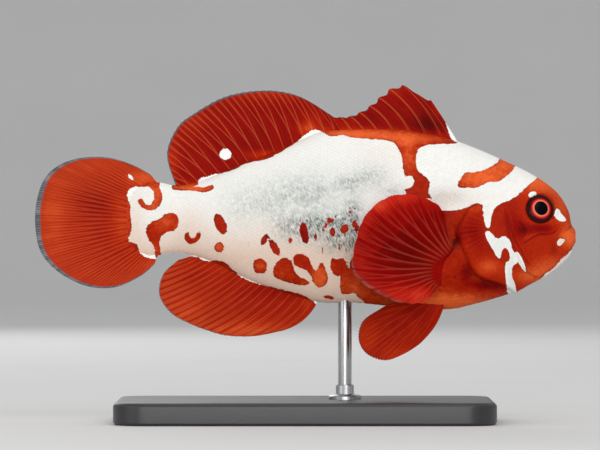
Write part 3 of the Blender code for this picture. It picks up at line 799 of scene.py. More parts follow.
# Ridges with a groove beside them: the line, the view's shift that finds the groove, the ridge's height, the
# groove's depth, their width, the groove's painted shade and its width, the ridge's painted highlight and its
# width
CREASES = (
    (CHEEK_FOLD, (-0.42, 0.0), 0.14, 0.09, 0.32, 0.46, 0.30, 0.26, 0.24),
    (UNDER_EYE_FOLD, (0.0, 0.42), 0.17, 0.12, 0.30, 0.52, 0.28, 0.30, 0.24),
    (BEHIND_EYE_FOLD, (-0.45, 0.1), 0.17, 0.12, 0.30, 0.52, 0.28, 0.30, 0.24),
    *((line, (0.0, 0.0), 0.06, 0.0, 0.26, 0.0, 0.22, 0.20, 0.22) for line in TEAR_STREAKS),
)


def ridge(away, width):
    """A smooth bump, 1 on the line and 0 beyond the width."""
    return (1 - np.clip(np.abs(away) / width, 0, 1) ** 2) ** 2


def eye_socket(back, up):
    """A pit with a raised rim: painted shade in a groove inside the rim, and a painted highlight on the rim's
    lower half.
    """
    r = np.hypot(back - EYE[0], up - EYE[1])
    height = 0.17 * ridge(r - 3.0, 0.42) - 1.3 * (1 - smooth(r, 2.0, 2.82))
    return height, 0.5 * ridge(r - 2.66, 0.30) - 0.22 * ridge(r - 3.02, 0.26) * smooth(up, 2.0, 0.4)


def gill_cover(back, up):
    """A plate that swells towards its free edge and stands over the breast. Behind the edge is a pit, and
    fine ribs, a sine of the angle, spread from the plate's front. Painted shade darkens the seam behind the
    edge, wider and darker below the cover's lower part, and the pit; a painted highlight runs just inside
    the edge, and the ribs take painted shade and highlight in turn."""
    covered = depth_in(back, up, rounded(np.vstack([GILL_EDGE, GILL_FRONT]))) > 0
    edge = distance_to(back, up, GILL_EDGE)
    swell = 0.60 * np.sqrt(smooth(edge, -0.1, 0.9)) * smooth(edge, 4.6, 0.6) + 0.14 * ridge(edge - 0.6, 0.5)
    height = np.where(covered, swell, -0.18 * ridge(edge, 1.3))
    low = smooth(up, -6.5, -9.5) * smooth(back, 12.5, 15.5)
    seam_shade = (0.42 + 0.22 * low) * ridge(edge, 0.9 + 0.8 * low)
    fold = np.where(covered, -0.10 * ridge(edge - 0.5, 0.45), seam_shade)
    behind, above = back - GILL_PIT[0], up - GILL_PIT[1]
    pit = np.exp(-(((behind + 0.25 * above) / 0.70) ** 2 + (above / 1.35) ** 2))
    turn = np.arctan2(up + 0.6, back - 14.0)
    fan = smooth(back, 15.4, 17.2) * smooth(edge, 0.3, 1.2) * covered * smooth(np.abs(turn + 0.1), 0.75, 0.35)
    ribs = fan * np.sin(44 * turn)
    return height - 0.25 * pit + 0.06 * ribs, fold + pit + 0.26 * ribs


def cheek_plate(back, up):
    """A plate that stands over the fold behind its rear edge and fades out above. Painted shade darkens that
    fold, and a painted highlight lightens the plate just inside the edge.
    """
    on_plate = depth_in(back, up, rounded(np.vstack([CHEEK_EDGE, CHEEK_FRONT]))) > 0
    away = distance_to(back, up, CHEEK_EDGE)
    rear = smooth(up, 4.0, 2.4)
    swell = 0.24 * smooth(away, 0.0, 0.3) * smooth(away, 2.4, 0.2)
    height = np.where(on_plate, swell, -0.12 * ridge(away, 0.5))
    fold = np.where(on_plate, -0.20 * ridge(away - 0.26, 0.24), 0.46 * ridge(away, 0.42))
    return rear * height, rear * fold


def creases(back, up):
    """The folds of CREASES, and the one along the lower jaw between two low ridges. Painted shade darkens
    their grooves, and a painted highlight lightens the ridges of CREASES.
    """
    away = distance_to(back, up, JAW_FOLD)
    height, fold = 0.10 * ridge(away - 0.35, 0.4) - 0.10 * ridge(away, 0.35), 0.18 * ridge(away, 0.3)
    for line, (shift_back, shift_up), rise, dip, width, dark, dark_width, pale, pale_width in CREASES:
        away, beside = distance_to(back, up, line), distance_to(back + shift_back, up + shift_up, line)
        height += rise * ridge(away, width) - dip * ridge(beside, width)
        fold += dark * ridge(beside, dark_width) - pale * ridge(away, pale_width)
    return height, fold


def mouth(back, up):
    """A slit between two lips, the upper jaw in front of its fold, and the hollow at the mouth's corner, with
    painted shade in the slit, along the jaw's fold and in the hollow.
    """
    slit, away = distance_to(back, up, MOUTH), distance_to(back, up, LIP_FOLD)
    on_jaw = depth_in(back, up, rounded(np.vstack([LIP_FOLD, MOUTH[::-1], JAW_FRONT]))) > 0
    front = smooth(back, 2.6, 0.9)
    height = np.where(on_jaw, 0.10, 0.08) * ridge(slit - 0.65, 0.6) - 0.50 * ridge(slit, 0.26)
    height += np.where(on_jaw, 0.14 * smooth(away, 0.0, 1.0), 0.0) - (0.07 + 0.24 * front) * ridge(away, 0.38)
    corner = np.exp(-(((back - 4.1) / 0.55) ** 2) - ((up + 4.6) / 1.1) ** 2)
    return height, 1.05 * ridge(slit, 0.24) + (0.12 + 0.22 * front) * ridge(away, 0.30) + 0.34 * corner


def nostril(back, up):
    """A pit in a low ring, darkened by painted shade."""
    away = np.hypot(back - NOSTRIL[0], up - NOSTRIL[1])
    return 0.10 * ridge(away - 0.36, 0.2) - 0.35 * ridge(away, 0.26), 1.2 * ridge(away, 0.22)


def head_relief(back, up, across):
    """Height of the head's features in millimetres, and the shade painted into their folds, below 0 a painted
    highlight: each feature's own, summed. Both fade out at the head's end, and the height along the midline
    behind the snout."""
    parts = [part(back, up) for part in (eye_socket, gill_cover, cheek_plate, creases, mouth, nostril)]
    height, fold = (sum(values) for values in zip(*parts))
    on_head = smooth(back, HEAD_END, HEAD_END - 1.5)
    beside = np.maximum(smooth(np.abs(across), 0.0, 1.4), smooth(back, 3.2, 1.6))
    return height * on_head * (0.2 + 0.8 * beside), np.clip(fold * on_head, -0.4, 1.2)


# ---------------------------------------------------------------- skin

HEAD_RINGS, BODY_RINGS, ROUND = 190, 130, 300
COAT_DEPTH = 0.06  # mm that the skin lies inside the solid under the scales
FLESH_NODES = ("head", "lower_jaw", "gill_cover_right", "gill_cover_left", "trunk", "tail_stock")


class Skin:
    """The whole fish's skin as a grid of rings from snout to tail, displaced by the head's relief."""

    def __init__(self):
        dense = np.linspace(0, LAST_STATION, 4001)
        back, _, across = body_side_view(dense, np.full(dense.shape, math.pi))
        reach = run_along(np.stack([back, across], -1), 0)
        head_reach = np.interp(HEAD_END, np.maximum.accumulate(back), reach)
        wanted = np.concatenate([
            head_reach * np.linspace(0, 1, HEAD_RINGS + 1)[1:] ** 1.1,
            np.linspace(head_reach, reach[-1], BODY_RINGS + 1)[1:],
        ])
        self.station = np.interp(wanted, reach, dense)
        even = -math.pi / 2 + math.tau * np.arange(ROUND) / ROUND
        angle = even - 0.18 * np.sin(2 * even)  # closer together on the flanks
        back, up, across = body_side_view(*np.meshgrid(self.station, angle, indexing="ij"))
        flesh = place(back, up, across)
        height, self.fold = head_relief(back, up, across)
        coat = COAT_DEPTH * smooth(back, 7, 12)
        self.points = flesh + grid_normals(flesh, True) * ((height - coat)[..., None] * MM)
        self.normal = grid_normals(self.points, True)
        self.view = np.stack([back, up, across], -1)

    def at(self, ring, spoke):
        """Points, normals, tail-ward directions, side-view places and painted fold shade between rings and
        spokes, by mixing the four nearest grid points."""
        ring = np.clip(ring, 0, len(self.station) - 1.001)
        i, j = ring.astype(int), np.floor(spoke).astype(int)
        f, g = (ring - i)[:, None], (spoke - j)[:, None]

        def blend(values):
            near = values[i, j % ROUND] * (1 - g) + values[i, (j + 1) % ROUND] * g
            far = values[i + 1, j % ROUND] * (1 - g) + values[i + 1, (j + 1) % ROUND] * g
            return near * (1 - f) + far * f

        tailward = self.points[i + 1, j % ROUND] - self.points[i, j % ROUND]
        fold = blend(self.fold[..., None])[:, 0]
        return blend(self.points), unit(blend(self.normal)), tailward, blend(self.view), fold


def make_skin(skin, finish):
    """Closed rings with a fan to the lips and a fan to the end of the tail stock."""
    points = with_poles(skin.points, skin.points[0].mean(0), skin.points[-1].mean(0))
    values = markings(*skin.view.reshape(-1, 3).T)
    # The head's painted fold shade goes on the skin with the markings
    values.update(fold=skin.fold.ravel(), own=np.full(skin.fold.size, NO_TONE))
    values = {label: np.concatenate([v, [v[0], v[-1]]]) for label, v in values.items()}
    faces, maps = fanned(len(skin.station), ROUND)
    add_piece("skin", points, faces, maps, finish, values, FLESH_NODES)


# ---------------------------------------------------------------- scales

rng = np.random.default_rng(11)
UNEVEN = 0.06  # share by which scales differ in size
SCALE_LENGTH, SCALE_WIDTH = 1.28, 0.53  # a scale's length by its step, half its width by its row's height
PATCH = 0.0015  # a scale's half size on the map
HEAD_COVER = 0.35  # how far behind the head's rear seam its own scales end
# Where the columns start and end behind the snout; their step, the rows' height and the scales' lift in mm at
# the front; the share they shrink to at the rear; and whether each is made of five columns of points or three
TRUNK_SCALES = (11.0, 82.6, 0.86, 1.0, 0.08, 0.72, True)
HEAD_SCALES = (8.0, 29.0, 0.62, 0.70, 0.035, 1.0, False)


def scale_rows(skin, side, first_back, last_back, step, row_height, shrink):
    """Places of one flank's scales as ring and spoke numbers, and their sizes. Columns are a step apart
    along the lateral middle. In each, rows are spaced by arc length from there, and every other column is
    moved by half a row."""
    half = ROUND // 2
    spokes = np.arange(half, ROUND + 1) if side == RIGHT else np.arange(0, half + 1)
    flank_points = skin.points[:, spokes % ROUND]
    middle = len(spokes) // 2
    arc, reach = run_along(flank_points, 1) / MM, run_along(flank_points[:, middle], 0) / MM
    middle_back = skin.view[:, spokes[middle] % ROUND, 0]
    start, stop = np.interp((first_back, last_back), middle_back, reach)
    rings, places, sizes = [], [], []
    at = start
    while at < stop:
        share = (at - start) / (stop - start)
        size = 1 + (shrink - 1) * share
        ring = np.interp(at, reach, np.arange(len(reach)))
        i = min(int(ring), len(reach) - 2)
        line = arc[i] * (1 - ring + i) + arc[i + 1] * (ring - i)
        pitch = row_height * size
        count = int(line[-1] / pitch) + 2
        offsets = (np.arange(-count, count) + 0.5 * (len(rings) % 2)) * pitch
        offsets = offsets[(offsets > -line[middle]) & (offsets < line[-1] - line[middle])]
        rings.append(np.full(offsets.shape, ring))
        places.append(spokes[0] + np.interp(offsets + line[middle], line, np.arange(len(spokes))))
        sizes.append(np.full(offsets.shape, size))
        at += step * size
    return np.concatenate(rings), np.concatenate(places), np.concatenate(sizes)


def scale_shape(fine):
    """One scale's points as (rearward, across, height) in shares of its size, its side faces, its floor and
    its rim shares: three rows of points from the buried front to the rounded rear, a skirt and a floor."""
    across = np.linspace(-1, 1, 5 if fine else 3)
    front = np.stack([np.full(across.shape, -0.8), across * 0.85, np.full(across.shape, -0.5)], 1)
    middle = np.stack([-0.15 - 0.05 * across**2, across, 0.55 - 0.45 * across**2], 1)
    rear = np.stack([0.72 - 0.62 * across**2, across * 0.96, 1.0 - 0.55 * across**2], 1)
    top = np.vstack([front, middle, rear])
    n = len(across)
    edge = [*range(n), 2 * n - 1, *range(3 * n - 1, 2 * n - 1, -1), n]
    skirt = top[edge] - (0, 0, 2.2)
    quads = [[k, k + 1, k + n + 1, k + n] for k in (*range(n - 1), *range(n, 2 * n - 1))]
    m, base = len(edge), 3 * n
    sides = [[edge[(k + 1) % m], edge[k], base + k, base + (k + 1) % m] for k in range(m)]
    rim = np.concatenate([np.zeros(n), np.abs(across) ** 3, np.ones(n), np.ones(m)])
    return np.vstack([top, skirt]), np.array(quads + sides), np.arange(base, base + m)[::-1], rim


def make_scales(name, skin, side, finish, keep, first_back, last_back, step, row_height, lift, shrink, fine):
    """Low shingles over one flank: each is the shape above laid on the skin's own directions there, its
    rear edge over the front of the next. Its markings are those of the skin under each of its points, and its
    painted fold shade that of the skin under the point it is laid at."""
    ring, spoke, size = scale_rows(skin, side, first_back, last_back, step, row_height, shrink)
    points, normal, tailward, view, fold = skin.at(ring, spoke)
    kept = keep(view[:, 0], view[:, 1])
    ring, spoke, size, fold = (a[kept] for a in (ring, spoke, size, fold))
    points, normal, tailward, view = (a[kept] for a in (points, normal, tailward, view))
    count = len(points)
    rearward = unit(tailward - (tailward * normal).sum(-1, keepdims=True) * normal)
    axes = np.stack([rearward, np.cross(normal, rearward), normal], 1)
    shape, sides, floor, rim = scale_shape(fine)
    jitter = 1 + UNEVEN * rng.standard_normal((count, 3))
    lengths = (step * SCALE_LENGTH, row_height * SCALE_WIDTH, lift) * size[:, None] * jitter * MM
    reach = lengths[:, None] * shape
    placed = points[:, None] + reach @ axes
    back = view[:, :1] + reach[..., 0] / UNIT
    up = view[:, 1:2] + (reach * (1, 1, 0) @ axes)[..., 2] / UNIT
    values = markings(back.ravel(), up.ravel(), np.repeat(view[:, 2], len(shape)))
    own = rng.random(count)
    values.update(rim=np.tile(rim, count), own=np.repeat(own, len(shape)), fold=np.repeat(fold, len(shape)))
    offset = np.arange(count)[:, None, None] * len(shape)
    faces = [(sides + offset).reshape(-1, 4), floor + offset[:, 0]]
    u = across_span(U_SPAN, ring / (len(skin.station) - 1))
    v = across_span(V_SPAN, (spoke % ROUND) / ROUND)
    maps = (np.stack([u, v], 1)[:, None] + PATCH * shape[:, :2]).reshape(-1, 2)
    add_piece(name, placed.reshape(-1, 3), faces, [maps[part] for part in faces], finish, values, sharp=55)


def behind_head(back, up):
    """Depth behind the head's rear seam: positive on the trunk."""
    above, behind = ((29.0, 20.0), (27.0, 14.0), (22.5, 5.0)), ((9.4, -16.0), (100.0, -30.0), (100.0, 30.0))
    return depth_in(back, up, (*above, *GILL_EDGE[1:], *behind))


def on_trunk(back, up):
    """Where the trunk's scales lie: behind the seam and clear of the pit there."""
    clear = np.hypot((back - GILL_PIT[0]) / 0.8, (up - GILL_PIT[1]) / 1.5) > 1
    return clear & (behind_head(back, up) > HEAD_COVER)


def on_scaly_head(back, up):
    """Where the head's scales lie: the nape and the upper gill cover, clear of the eye and the seams."""
    clear = np.hypot(back - EYE[0], up - EYE[1]) > 4.4
    clear &= (distance_to(back, up, GILL_EDGE) > 0.8) & (distance_to(back, up, CHEEK_EDGE) > 0.6)
    nape, cover = (up > 3.4) & (back > 8.6), (back > 13.4) & (up > 1.6)
    return clear & (nape | cover) & (behind_head(back, up) < HEAD_COVER)


# ---------------------------------------------------------------- fins

SPINE_TIPS = (
    (26.6, 23.1), (29.2, 24.3), (31.8, 25.9), (34.3, 25.2), (36.3, 23.6),
    (38.0, 22.1), (39.9, 20.9), (41.6, 20.2), (43.4, 20.0), (45.3, 20.2),
)
SPINE_ROOTS = (
    (20.8, 13.9), (22.2, 14.4), (24.2, 15.0), (27.2, 15.7), (30.1, 16.0),
    (33.1, 16.0), (35.9, 15.9), (38.2, 15.8), (40.5, 15.7), (42.8, 15.6),
)
SPINE_BOWS = (0.1, 0.5, 0.9, 0.9, 0.8, 0.7, 0.5, 0.4, 0.3, 0.3)
SOFT_ROOT = ((42.5, 15.7), (53.0, 13.2), (62.0, 9.8), (71.9, 6.2))
SOFT_MARGIN = (
    (44.9, 20.2), (50.4, 23.6), (55.2, 24.9), (60.6, 24.8), (65.6, 23.6),
    (70.4, 20.9), (73.7, 18.2), (75.6, 13.2), (74.0, 7.4),
)
ANAL_ROOT = ((47.2, -13.2), (56.0, -10.4), (63.0, -7.4), (70.0, -4.8))
ANAL_MARGIN = (
    (54.2, -19.6), (59.4, -20.6), (64.6, -20.5), (68.6, -19.4), (71.6, -18.2),
    (74.4, -16.7), (76.3, -14.6), (77.1, -12.2), (76.2, -9.0), (73.4, -6.4),
)
TAIL_ROOT = ((77.0, 7.4), (78.6, 1.2), (77.0, -5.1))
TAIL_MARGIN = (
    (78.6, 9.4), (82.0, 11.2), (86.4, 12.5), (91.3, 12.5), (95.4, 11.2), (98.3, 8.6), (99.8, 4.2),
    (100.0, -0.6), (98.9, -5.2), (95.6, -8.8), (90.6, -11.3), (85.4, -11.6), (80.8, -9.7), (77.9, -7.4),
)
# The breast fin's base under the skin, the knee of its fleshy lobe where the rays start, and its rim
PECTORAL_ROOT = ((23.0, -4.2), (24.1, -5.9), (24.9, -8.2), (25.1, -11.2))
PECTORAL_KNEE = (
    (23.1, -3.6), (23.8, -4.8), (25.2, -5.8), (26.8, -7.2), (27.1, -8.9), (26.6, -10.4), (25.6, -11.4),
)
PECTORAL_RIM = (
    (24.4, 2.0), (25.8, 3.8), (28.2, 5.0), (31.4, 5.7), (34.8, 5.2), (37.6, 3.4), (39.6, 0.8), (40.6, -2.2),
    (41.3, -5.4), (41.4, -8.2), (39.8, -10.4), (37.2, -12.2), (34.0, -13.8), (30.6, -14.4), (27.8, -13.8),
    (26.2, -12.4),
)
PECTORAL_BOWS = (0.1, 0.4, 0.7, 0.9, 0.7, 0.4, 0.1, -0.1)  # how far the rays sag below their chords
PECTORAL_LOBE = 0.16  # the lobe's share of a ray's length
PECTORAL_SUNK, PECTORAL_REACH = 0.7, 7.2  # how far the base lies under the flank and the rim stands off it
PELVIC_ROOT = ((24.2, -14.6), (29.6, -14.2))
PELVIC_MARGIN = (
    (29.2, -22.1), (32.2, -24.0), (35.4, -25.0), (38.6, -23.9), (40.1, -21.2), (39.2, -17.8), (35.4, -15.2),
)
PELVIC_SPREAD = (1.7, 4.4)  # distance across of its root and its rim
# Warmth of each fin's red: its own level, then blobs as on the skin
SPINY_WARMTH = 0.29, (
    (27.2, 18.4, 2.8, 2.2, -0.30), (40.0, 16.9, 9.0, 1.0, 0.62), (28.5, 16.2, 5.5, 1.0, 0.34),
    (25.4, 21.2, 1.2, 2.6, 0.14), (32.5, 25.0, 4.0, 1.3, 0.12), (42.5, 19.0, 2.0, 1.0, 0.12),
    (38.0, 19.8, 2.0, 1.2, -0.06),
)
SOFT_WARMTH = 0.32, (
    (61.0, 14.5, 6.0, 2.6, -0.06), (57.4, 13.0, 3.6, 0.9, 0.34), (49.4, 17.8, 1.8, 1.2, 0.44),
    (46.0, 17.0, 1.6, 1.2, 0.4), (48.6, 19.8, 2.4, 1.6, 0.12), (58.0, 25.0, 9.0, 2.0, 0.22),
    (71.5, 20.0, 3.5, 3.5, 0.16), (75.0, 12.0, 1.8, 5.0, 0.24), (70.5, 7.4, 2.5, 0.9, 0.20),
)
ANAL_WARMTH = 0.48, (
    (57.0, -12.4, 5.0, 1.5, -0.10), (60.0, -19.5, 9.0, 1.8, 0.26), (72.0, -16.0, 4.0, 3.5, 0.16),
    (49.6, -14.4, 1.2, 1.6, 0.16), (66.0, -8.0, 3.0, 1.0, 0.10),
)
TAIL_WARMTH = 0.51, (
    (89.0, 4.0, 3.6, 3.0, -0.20), (87.5, -1.5, 3.0, 3.0, -0.08), (96.5, 1.5, 2.6, 6.0, 0.16),
    (83.8, 1.0, 1.8, 4.5, 0.16), (80.0, 8.6, 3.2, 1.6, 0.30), (79.5, -7.0, 2.2, 1.4, 0.12),
    (90.0, 11.0, 5.0, 1.4, 0.08),
)
PECTORAL_WARMTH = 0.22, (
    (33.0, -13.0, 6.5, 2.4, 0.32), (28.4, -13.2, 2.6, 1.8, 0.30), (40.0, -8.6, 2.4, 2.6, 0.14),
    (25.2, -8.0, 1.8, 3.6, 0.14), (31.0, -5.0, 4.0, 3.4, -0.14), (36.0, -2.0, 3.2, 3.2, -0.12),
    (31.0, 5.2, 5.0, 1.4, 0.34), (36.6, 3.6, 2.2, 1.6, 0.42), (39.2, 0.6, 1.2, 2.4, 0.16),
)
PELVIC_WARMTH = 0.44, (
    (28.8, -16.0, 2.4, 1.4, -0.06), (33.0, -23.8, 4.0, 1.5, 0.14), (38.5, -20.0, 2.0, 2.6, 0.10),
)
# In mm: half the web's thickness, a ray's half width at root and rim, and how far in from the rim and from
# the first and last ray the leaf is rounded
FIN_WEB, RAY_WIDTH, RIM_ROUND, SIDE_ROUND = 0.07, (0.26, 0.14), 0.22, 0.18
WEB_TAPER, RAY_TAPER = 0.3, 0.78  # shares of the web's and the rays' thickness lost on the way to the rim
# On the map: the leaf's span along the fin, and each end cap's place and width
LEAF_U, CAP_U, CAP_WIDTH = (0.02, 0.98), (0.01, 0.99), 0.004


def arm_distance(turn, reach, forked):
    """Distance from the middle of a ray's nearest arm, in shares of the rays' spacing: the place across the
    ray is folded about each fork as far as the fork has opened there."""
    arm = np.abs(turn % 1 - 0.5)
    for share, low, high in FORKS:
        arm = np.abs(arm - forked * share * smooth(reach, low, high))
    return arm


def leaf(middle, normal, half):
    """A closed leaf's points, faces and map positions: the middle surface moved out by half the thickness on
    both sides, joined round the root and the rim, and a strip of faces down the first and the last ray."""
    columns, rows = half.shape
    offset = normal * (MM * half)[..., None]
    loop = np.concatenate([middle + offset, (middle - offset)[:, ::-1]], 1)
    quads, uv = ring_faces(columns, 2 * rows, LEAF_U, (0.0, 1.0))
    k = np.arange(rows - 1)
    cap = np.stack([k, k + 1, 2 * rows - 2 - k, 2 * rows - 1 - k], 1)
    cap_v = np.stack([k, k + 1, k + 1, k], 1) / (2 * rows)
    cap_uv = np.stack([CAP_WIDTH * np.broadcast_to((0, 0, 1, 1), cap_v.shape), cap_v], -1)
    faces = [quads, cap, (cap + (columns - 1) * 2 * rows)[:, ::-1]]
    return loop.reshape(-1, 3), faces, [uv, cap_uv + (CAP_U[0], 0), (cap_uv + (CAP_U[1], 0))[:, ::-1]]


def fin(name, point, rays, finish, node, warmth, *, thick, band, paleness, per_ray=16, rows=64, sheath=0.25,
        ripple=0.0, pleat=0.0, notch=0.008, start=0.04, forked=1.0, forks_to=1.0, delay=1.0, gap=0.15,
        fade=(0.35, 0.35), fade_from=0.45, band_swell=0.0, swell=(0.5, 0.26), plain=False):
    """A fin as a closed leaf. point(t, s) is its middle surface, t from the first ray to the last and s
    from root to rim. Its half thickness is the web's, a ridge on each ray's arms and a sheath at the root.
    The rim dips by a notch between rays, and the surface bends by a slow ripple and a pleat on each ray.
    Rays start at a share of the way out and fork by as much as forked says, late where delay is above 1.
    Their pale lines are a gap off the arm's middle, and fade towards the rim. The rim's band swells about
    one place. A plain fin has no white, only a warmer red where the flank's white would fall."""
    columns, last = (rays - 1) * per_ray + 1, rays - 1
    t, s = np.meshgrid(np.linspace(0, 1, columns), np.linspace(0, 1, rows) ** 0.9, indexing="ij")
    turn = 0.5 + t * last
    arm_tip = FORKS[-1][0] * forked if forked else 0.5
    dip = np.sin(np.clip(arm_distance(turn, forks_to, forked) / arm_tip, 0, 1) * math.pi / 2) ** 2
    view = point(t, s * (1 - notch * dip))
    middle = place(*view)
    pitch = np.linalg.norm(np.gradient(middle, axis=0), axis=2) * (columns - 1) / last / MM
    reach = forks_to * s**delay
    arm = arm_distance(turn, reach, forked)
    ray = np.exp(-((arm * pitch / across_span(RAY_WIDTH, s)) ** 2)) * smooth(s, start - 0.04, start + 0.08)
    half = FIN_WEB * (1 - WEB_TAPER * s) + thick * (1 - RAY_TAPER * s) * ray
    half += sheath * smooth(s, start + 0.16, start - 0.10)
    rim = run_along(middle[:, ::-1], 1)[:, ::-1] / MM
    half *= np.sqrt(np.clip(rim / RIM_ROUND, 0, 1)) * 0.95 + 0.05
    half *= np.sqrt(np.clip(np.minimum(t, 1 - t) * last * pitch / SIDE_ROUND + 0.02, 0, 1))
    normal = grid_normals(middle, False)
    wave = np.sin(8.5 * t + 2.4 * s + 0.6) + 0.5 * np.sin(18.8 * t - 1.8 * s)
    bend = ripple * wave * s**1.6 + pleat * np.cos(math.tau * (turn - 0.5)) * smooth(s, start, 0.5)
    points, faces, maps = leaf(middle + normal * (MM * bend)[..., None], normal, half)
    warm, white = tone_at(view[0], view[1], *warmth), white_depth(*view)
    if plain:
        warm, white = warm + 0.10 * smooth(white, -0.5, 0.6), np.full(t.shape, -5.0)
    faded = np.interp(t, (0, 1), fade) * smooth(s, fade_from, 0.95)
    values = {
        "warm": warm, "turn": turn, "reach": reach, "pitch": pitch, "rim": rim, "gap": gap * (1 - 0.75 * s),
        "white": white, "forked": np.full(t.shape, forked),
        "band": band + band_swell * np.exp(-(((t - swell[0]) / swell[1]) ** 2)),
        "paleness": paleness * (0.55 + 0.45 * s) * smooth(s, start - 0.06, start + 0.06) * (1 - faded),
    }
    values = {label: np.concatenate([v, v[:, ::-1]], 1) for label, v in values.items()}
    add_piece(name, points, faces, maps, finish, values, (node,))


def bowed(chord, share, t, bows):
    """How far rays stand off their chords, square to them: 4 s (1 - s) times the bow of each."""
    bow = 4 * share * (1 - share) * np.interp(t, np.linspace(0, 1, len(bows)), bows)[..., None]
    return unit(np.stack([-chord[..., 1], chord[..., 0]], -1)) * bow


def ruled(root, margin, bows=(0, 0), across=None):
    """Rays from the root curve to the margin, bowed towards the front on the back's fins, at a distance
    across given by across(t, s), or on the midline."""
    def point(t, s):
        start, share = along(root, t), s[..., None]
        chord = along(margin, t) - start
        view = start + chord * share + bowed(chord, share, t, bows)
        return view[..., 0], view[..., 1], across(t, s) if across else np.zeros(t.shape)
    return point


def pectoral_point(side):
    """The fleshy lobe runs from the root to the knee, hugging the flank, and the rays fan on to the rim. The
    distance across starts under the flank and grows outwards, most on the middle rays."""
    def point(t, s):
        root, knee, rim = along(PECTORAL_ROOT, t), along(PECTORAL_KNEE, t), along(PECTORAL_RIM, t)
        near = np.clip(s / PECTORAL_LOBE, 0, 1)[..., None]
        far = np.clip((s - PECTORAL_LOBE) / (1 - PECTORAL_LOBE), 0, 1)[..., None]
        view = root + (knee - root) * near + (rim - knee) * far - bowed(rim - knee, far, t, PECTORAL_BOWS)
        base = flank(*along(PECTORAL_ROOT, t[:, 0]).T, 1)[:, None] - PECTORAL_SUNK
        out = PECTORAL_REACH * (0.7 + 0.3 * np.sin(math.pi * t)) * s * (1.25 - 0.25 * s)
        return view[..., 0], view[..., 1], side * (base + out)
    return point


def pelvic_point(side):
    """Rays that spread from the root's distance across to the rim's."""
    bows = (-0.8, -0.2, 0.5)
    return ruled(PELVIC_ROOT, PELVIC_MARGIN, bows, lambda t, s: side * across_span(PELVIC_SPREAD, s))


# ---------------------------------------------------------------- eyes, spines

# In mm: the lens's radius, its dome's height in front, its depth behind and how far its edge is sunk
EYE_RADIUS, EYE_DOME, EYE_DEPTH, EYE_SUNK = 3.28, 1.22, 2.2, 0.62
PUPIL_RISE, PUPIL_EDGE = 0.08, (1.62, 1.34)
EYE_TURNED, EYE_SPOKES = 40, 64
CHEEK_SPAN = 1.5  # how far on each side of the eye the cheek's lean is measured
# Two thorns on each cheek, as bent lines, and what the skin's finish reads on them
THORNS = ((8.9, -0.7), (8.95, -1.4), (9.35, -2.2)), ((7.9, -1.6), (8.7, -2.0), (9.8, -2.6))
THORN_RADIUS, THORN_RINGS, THORN_SPOKES = 0.20, 12, 12
THORN_TONES = {"white": -2.0, "warm": 0.66, "grey": 0.0, "cream": 0.0, "fold": 0.0, "own": NO_TONE}


def eye(name, side, finish, node):
    """A turned lens square to the cheek: rings by the sine of a half turn, with a low dome in front and a
    deeper one behind by its cosine, and the pupil raised a little. The distance from the middle in
    millimetres is kept for the iris rings."""
    back, up = EYE
    lean_back = flank(back + CHEEK_SPAN, up, 1) - flank(back - CHEEK_SPAN, up, 1)
    lean_up = flank(back, up + CHEEK_SPAN, 1) - flank(back, up - CHEEK_SPAN, 1)
    facing = unit(np.array([lean_back, 2 * CHEEK_SPAN * side, -lean_up]))
    upward = unit(np.cross(np.cross(facing, (0.0, 0.0, 1.0)), facing))
    forward = np.cross(upward, facing)
    centre = place(back, up, flank(back, up, side))
    turn = np.linspace(0, math.pi, EYE_TURNED + 2)[1:-1, None]
    in_front = turn < math.pi / 2
    out = EYE_RADIUS * np.sin(turn)
    rise = np.where(in_front, EYE_DOME, EYE_DEPTH) * np.cos(turn) - EYE_SUNK
    rise += PUPIL_RISE * smooth(out, *PUPIL_EDGE) * in_front
    rings = rings_about(centre + MM * rise * facing, MM * out * forward, MM * out * upward, EYE_SPOKES)
    front, rear = EYE_DOME - EYE_SUNK + PUPIL_RISE, -EYE_DEPTH - EYE_SUNK
    points = with_poles(rings, centre + MM * front * facing, centre + MM * rear * facing)
    away = np.repeat(np.where(in_front, out, EYE_RADIUS), EYE_SPOKES)
    faces, maps = fanned(EYE_TURNED, EYE_SPOKES)
    add_piece(name, points, faces, maps, finish, {"ring": np.append(away, [0, EYE_RADIUS])}, (node,))


def cheek_spines(name, side, finish):
    """Two curved thorns below the eye: rings carried along a bent line, their radius shrinking to a point."""
    points, faces, maps = [], [], []
    s = np.linspace(0, 1, THORN_RINGS)
    size = THORN_RADIUS * UNIT * (np.sqrt(np.clip(1.02 - s, 0, 1)) * (0.55 + 0.45 * (1 - s)))[:, None]
    for line in THORNS:
        back, up = along(line, s).T
        spine = place(back, up, side * (flank(back, up, 1) + np.linspace(-0.16, 0.10, THORN_RINGS)))
        ahead = unit(np.gradient(spine, axis=0))
        across = unit(np.cross(ahead, (0.0, side, 0.0)))
        rings = rings_about(spine, size * across, 0.8 * size * np.cross(across, ahead), THORN_SPOKES)
        part, part_map = fanned(THORN_RINGS, THORN_SPOKES, sum(map(len, points)))
        points.append(with_poles(rings, spine[0], spine[-1] + ahead[-1] * size[-1]))
        faces, maps = faces + part, maps + part_map
    points = np.vstack(points)
    values = {label: np.full(len(points), number) for label, number in THORN_TONES.items()}
    add_piece(name, points, faces, maps, finish, values)


# ---------------------------------------------------------------- stand

PLINTH_CORNER, PLINTH_BEVEL, PLINTH_FOOT = 0.007, 0.0011, 0.0006
CORNER_POINTS, BEVEL_RINGS, FLAT_RINGS = 15, 8, (0.66, 0.33)  # the last as shares of the plinth's outline
POST_SUNK, POST_OVER, POST_BEVEL = 0.002, 0.0006, 0.0003  # into the plinth, and past the solid rod's top
STEEL_SPOKES = 48
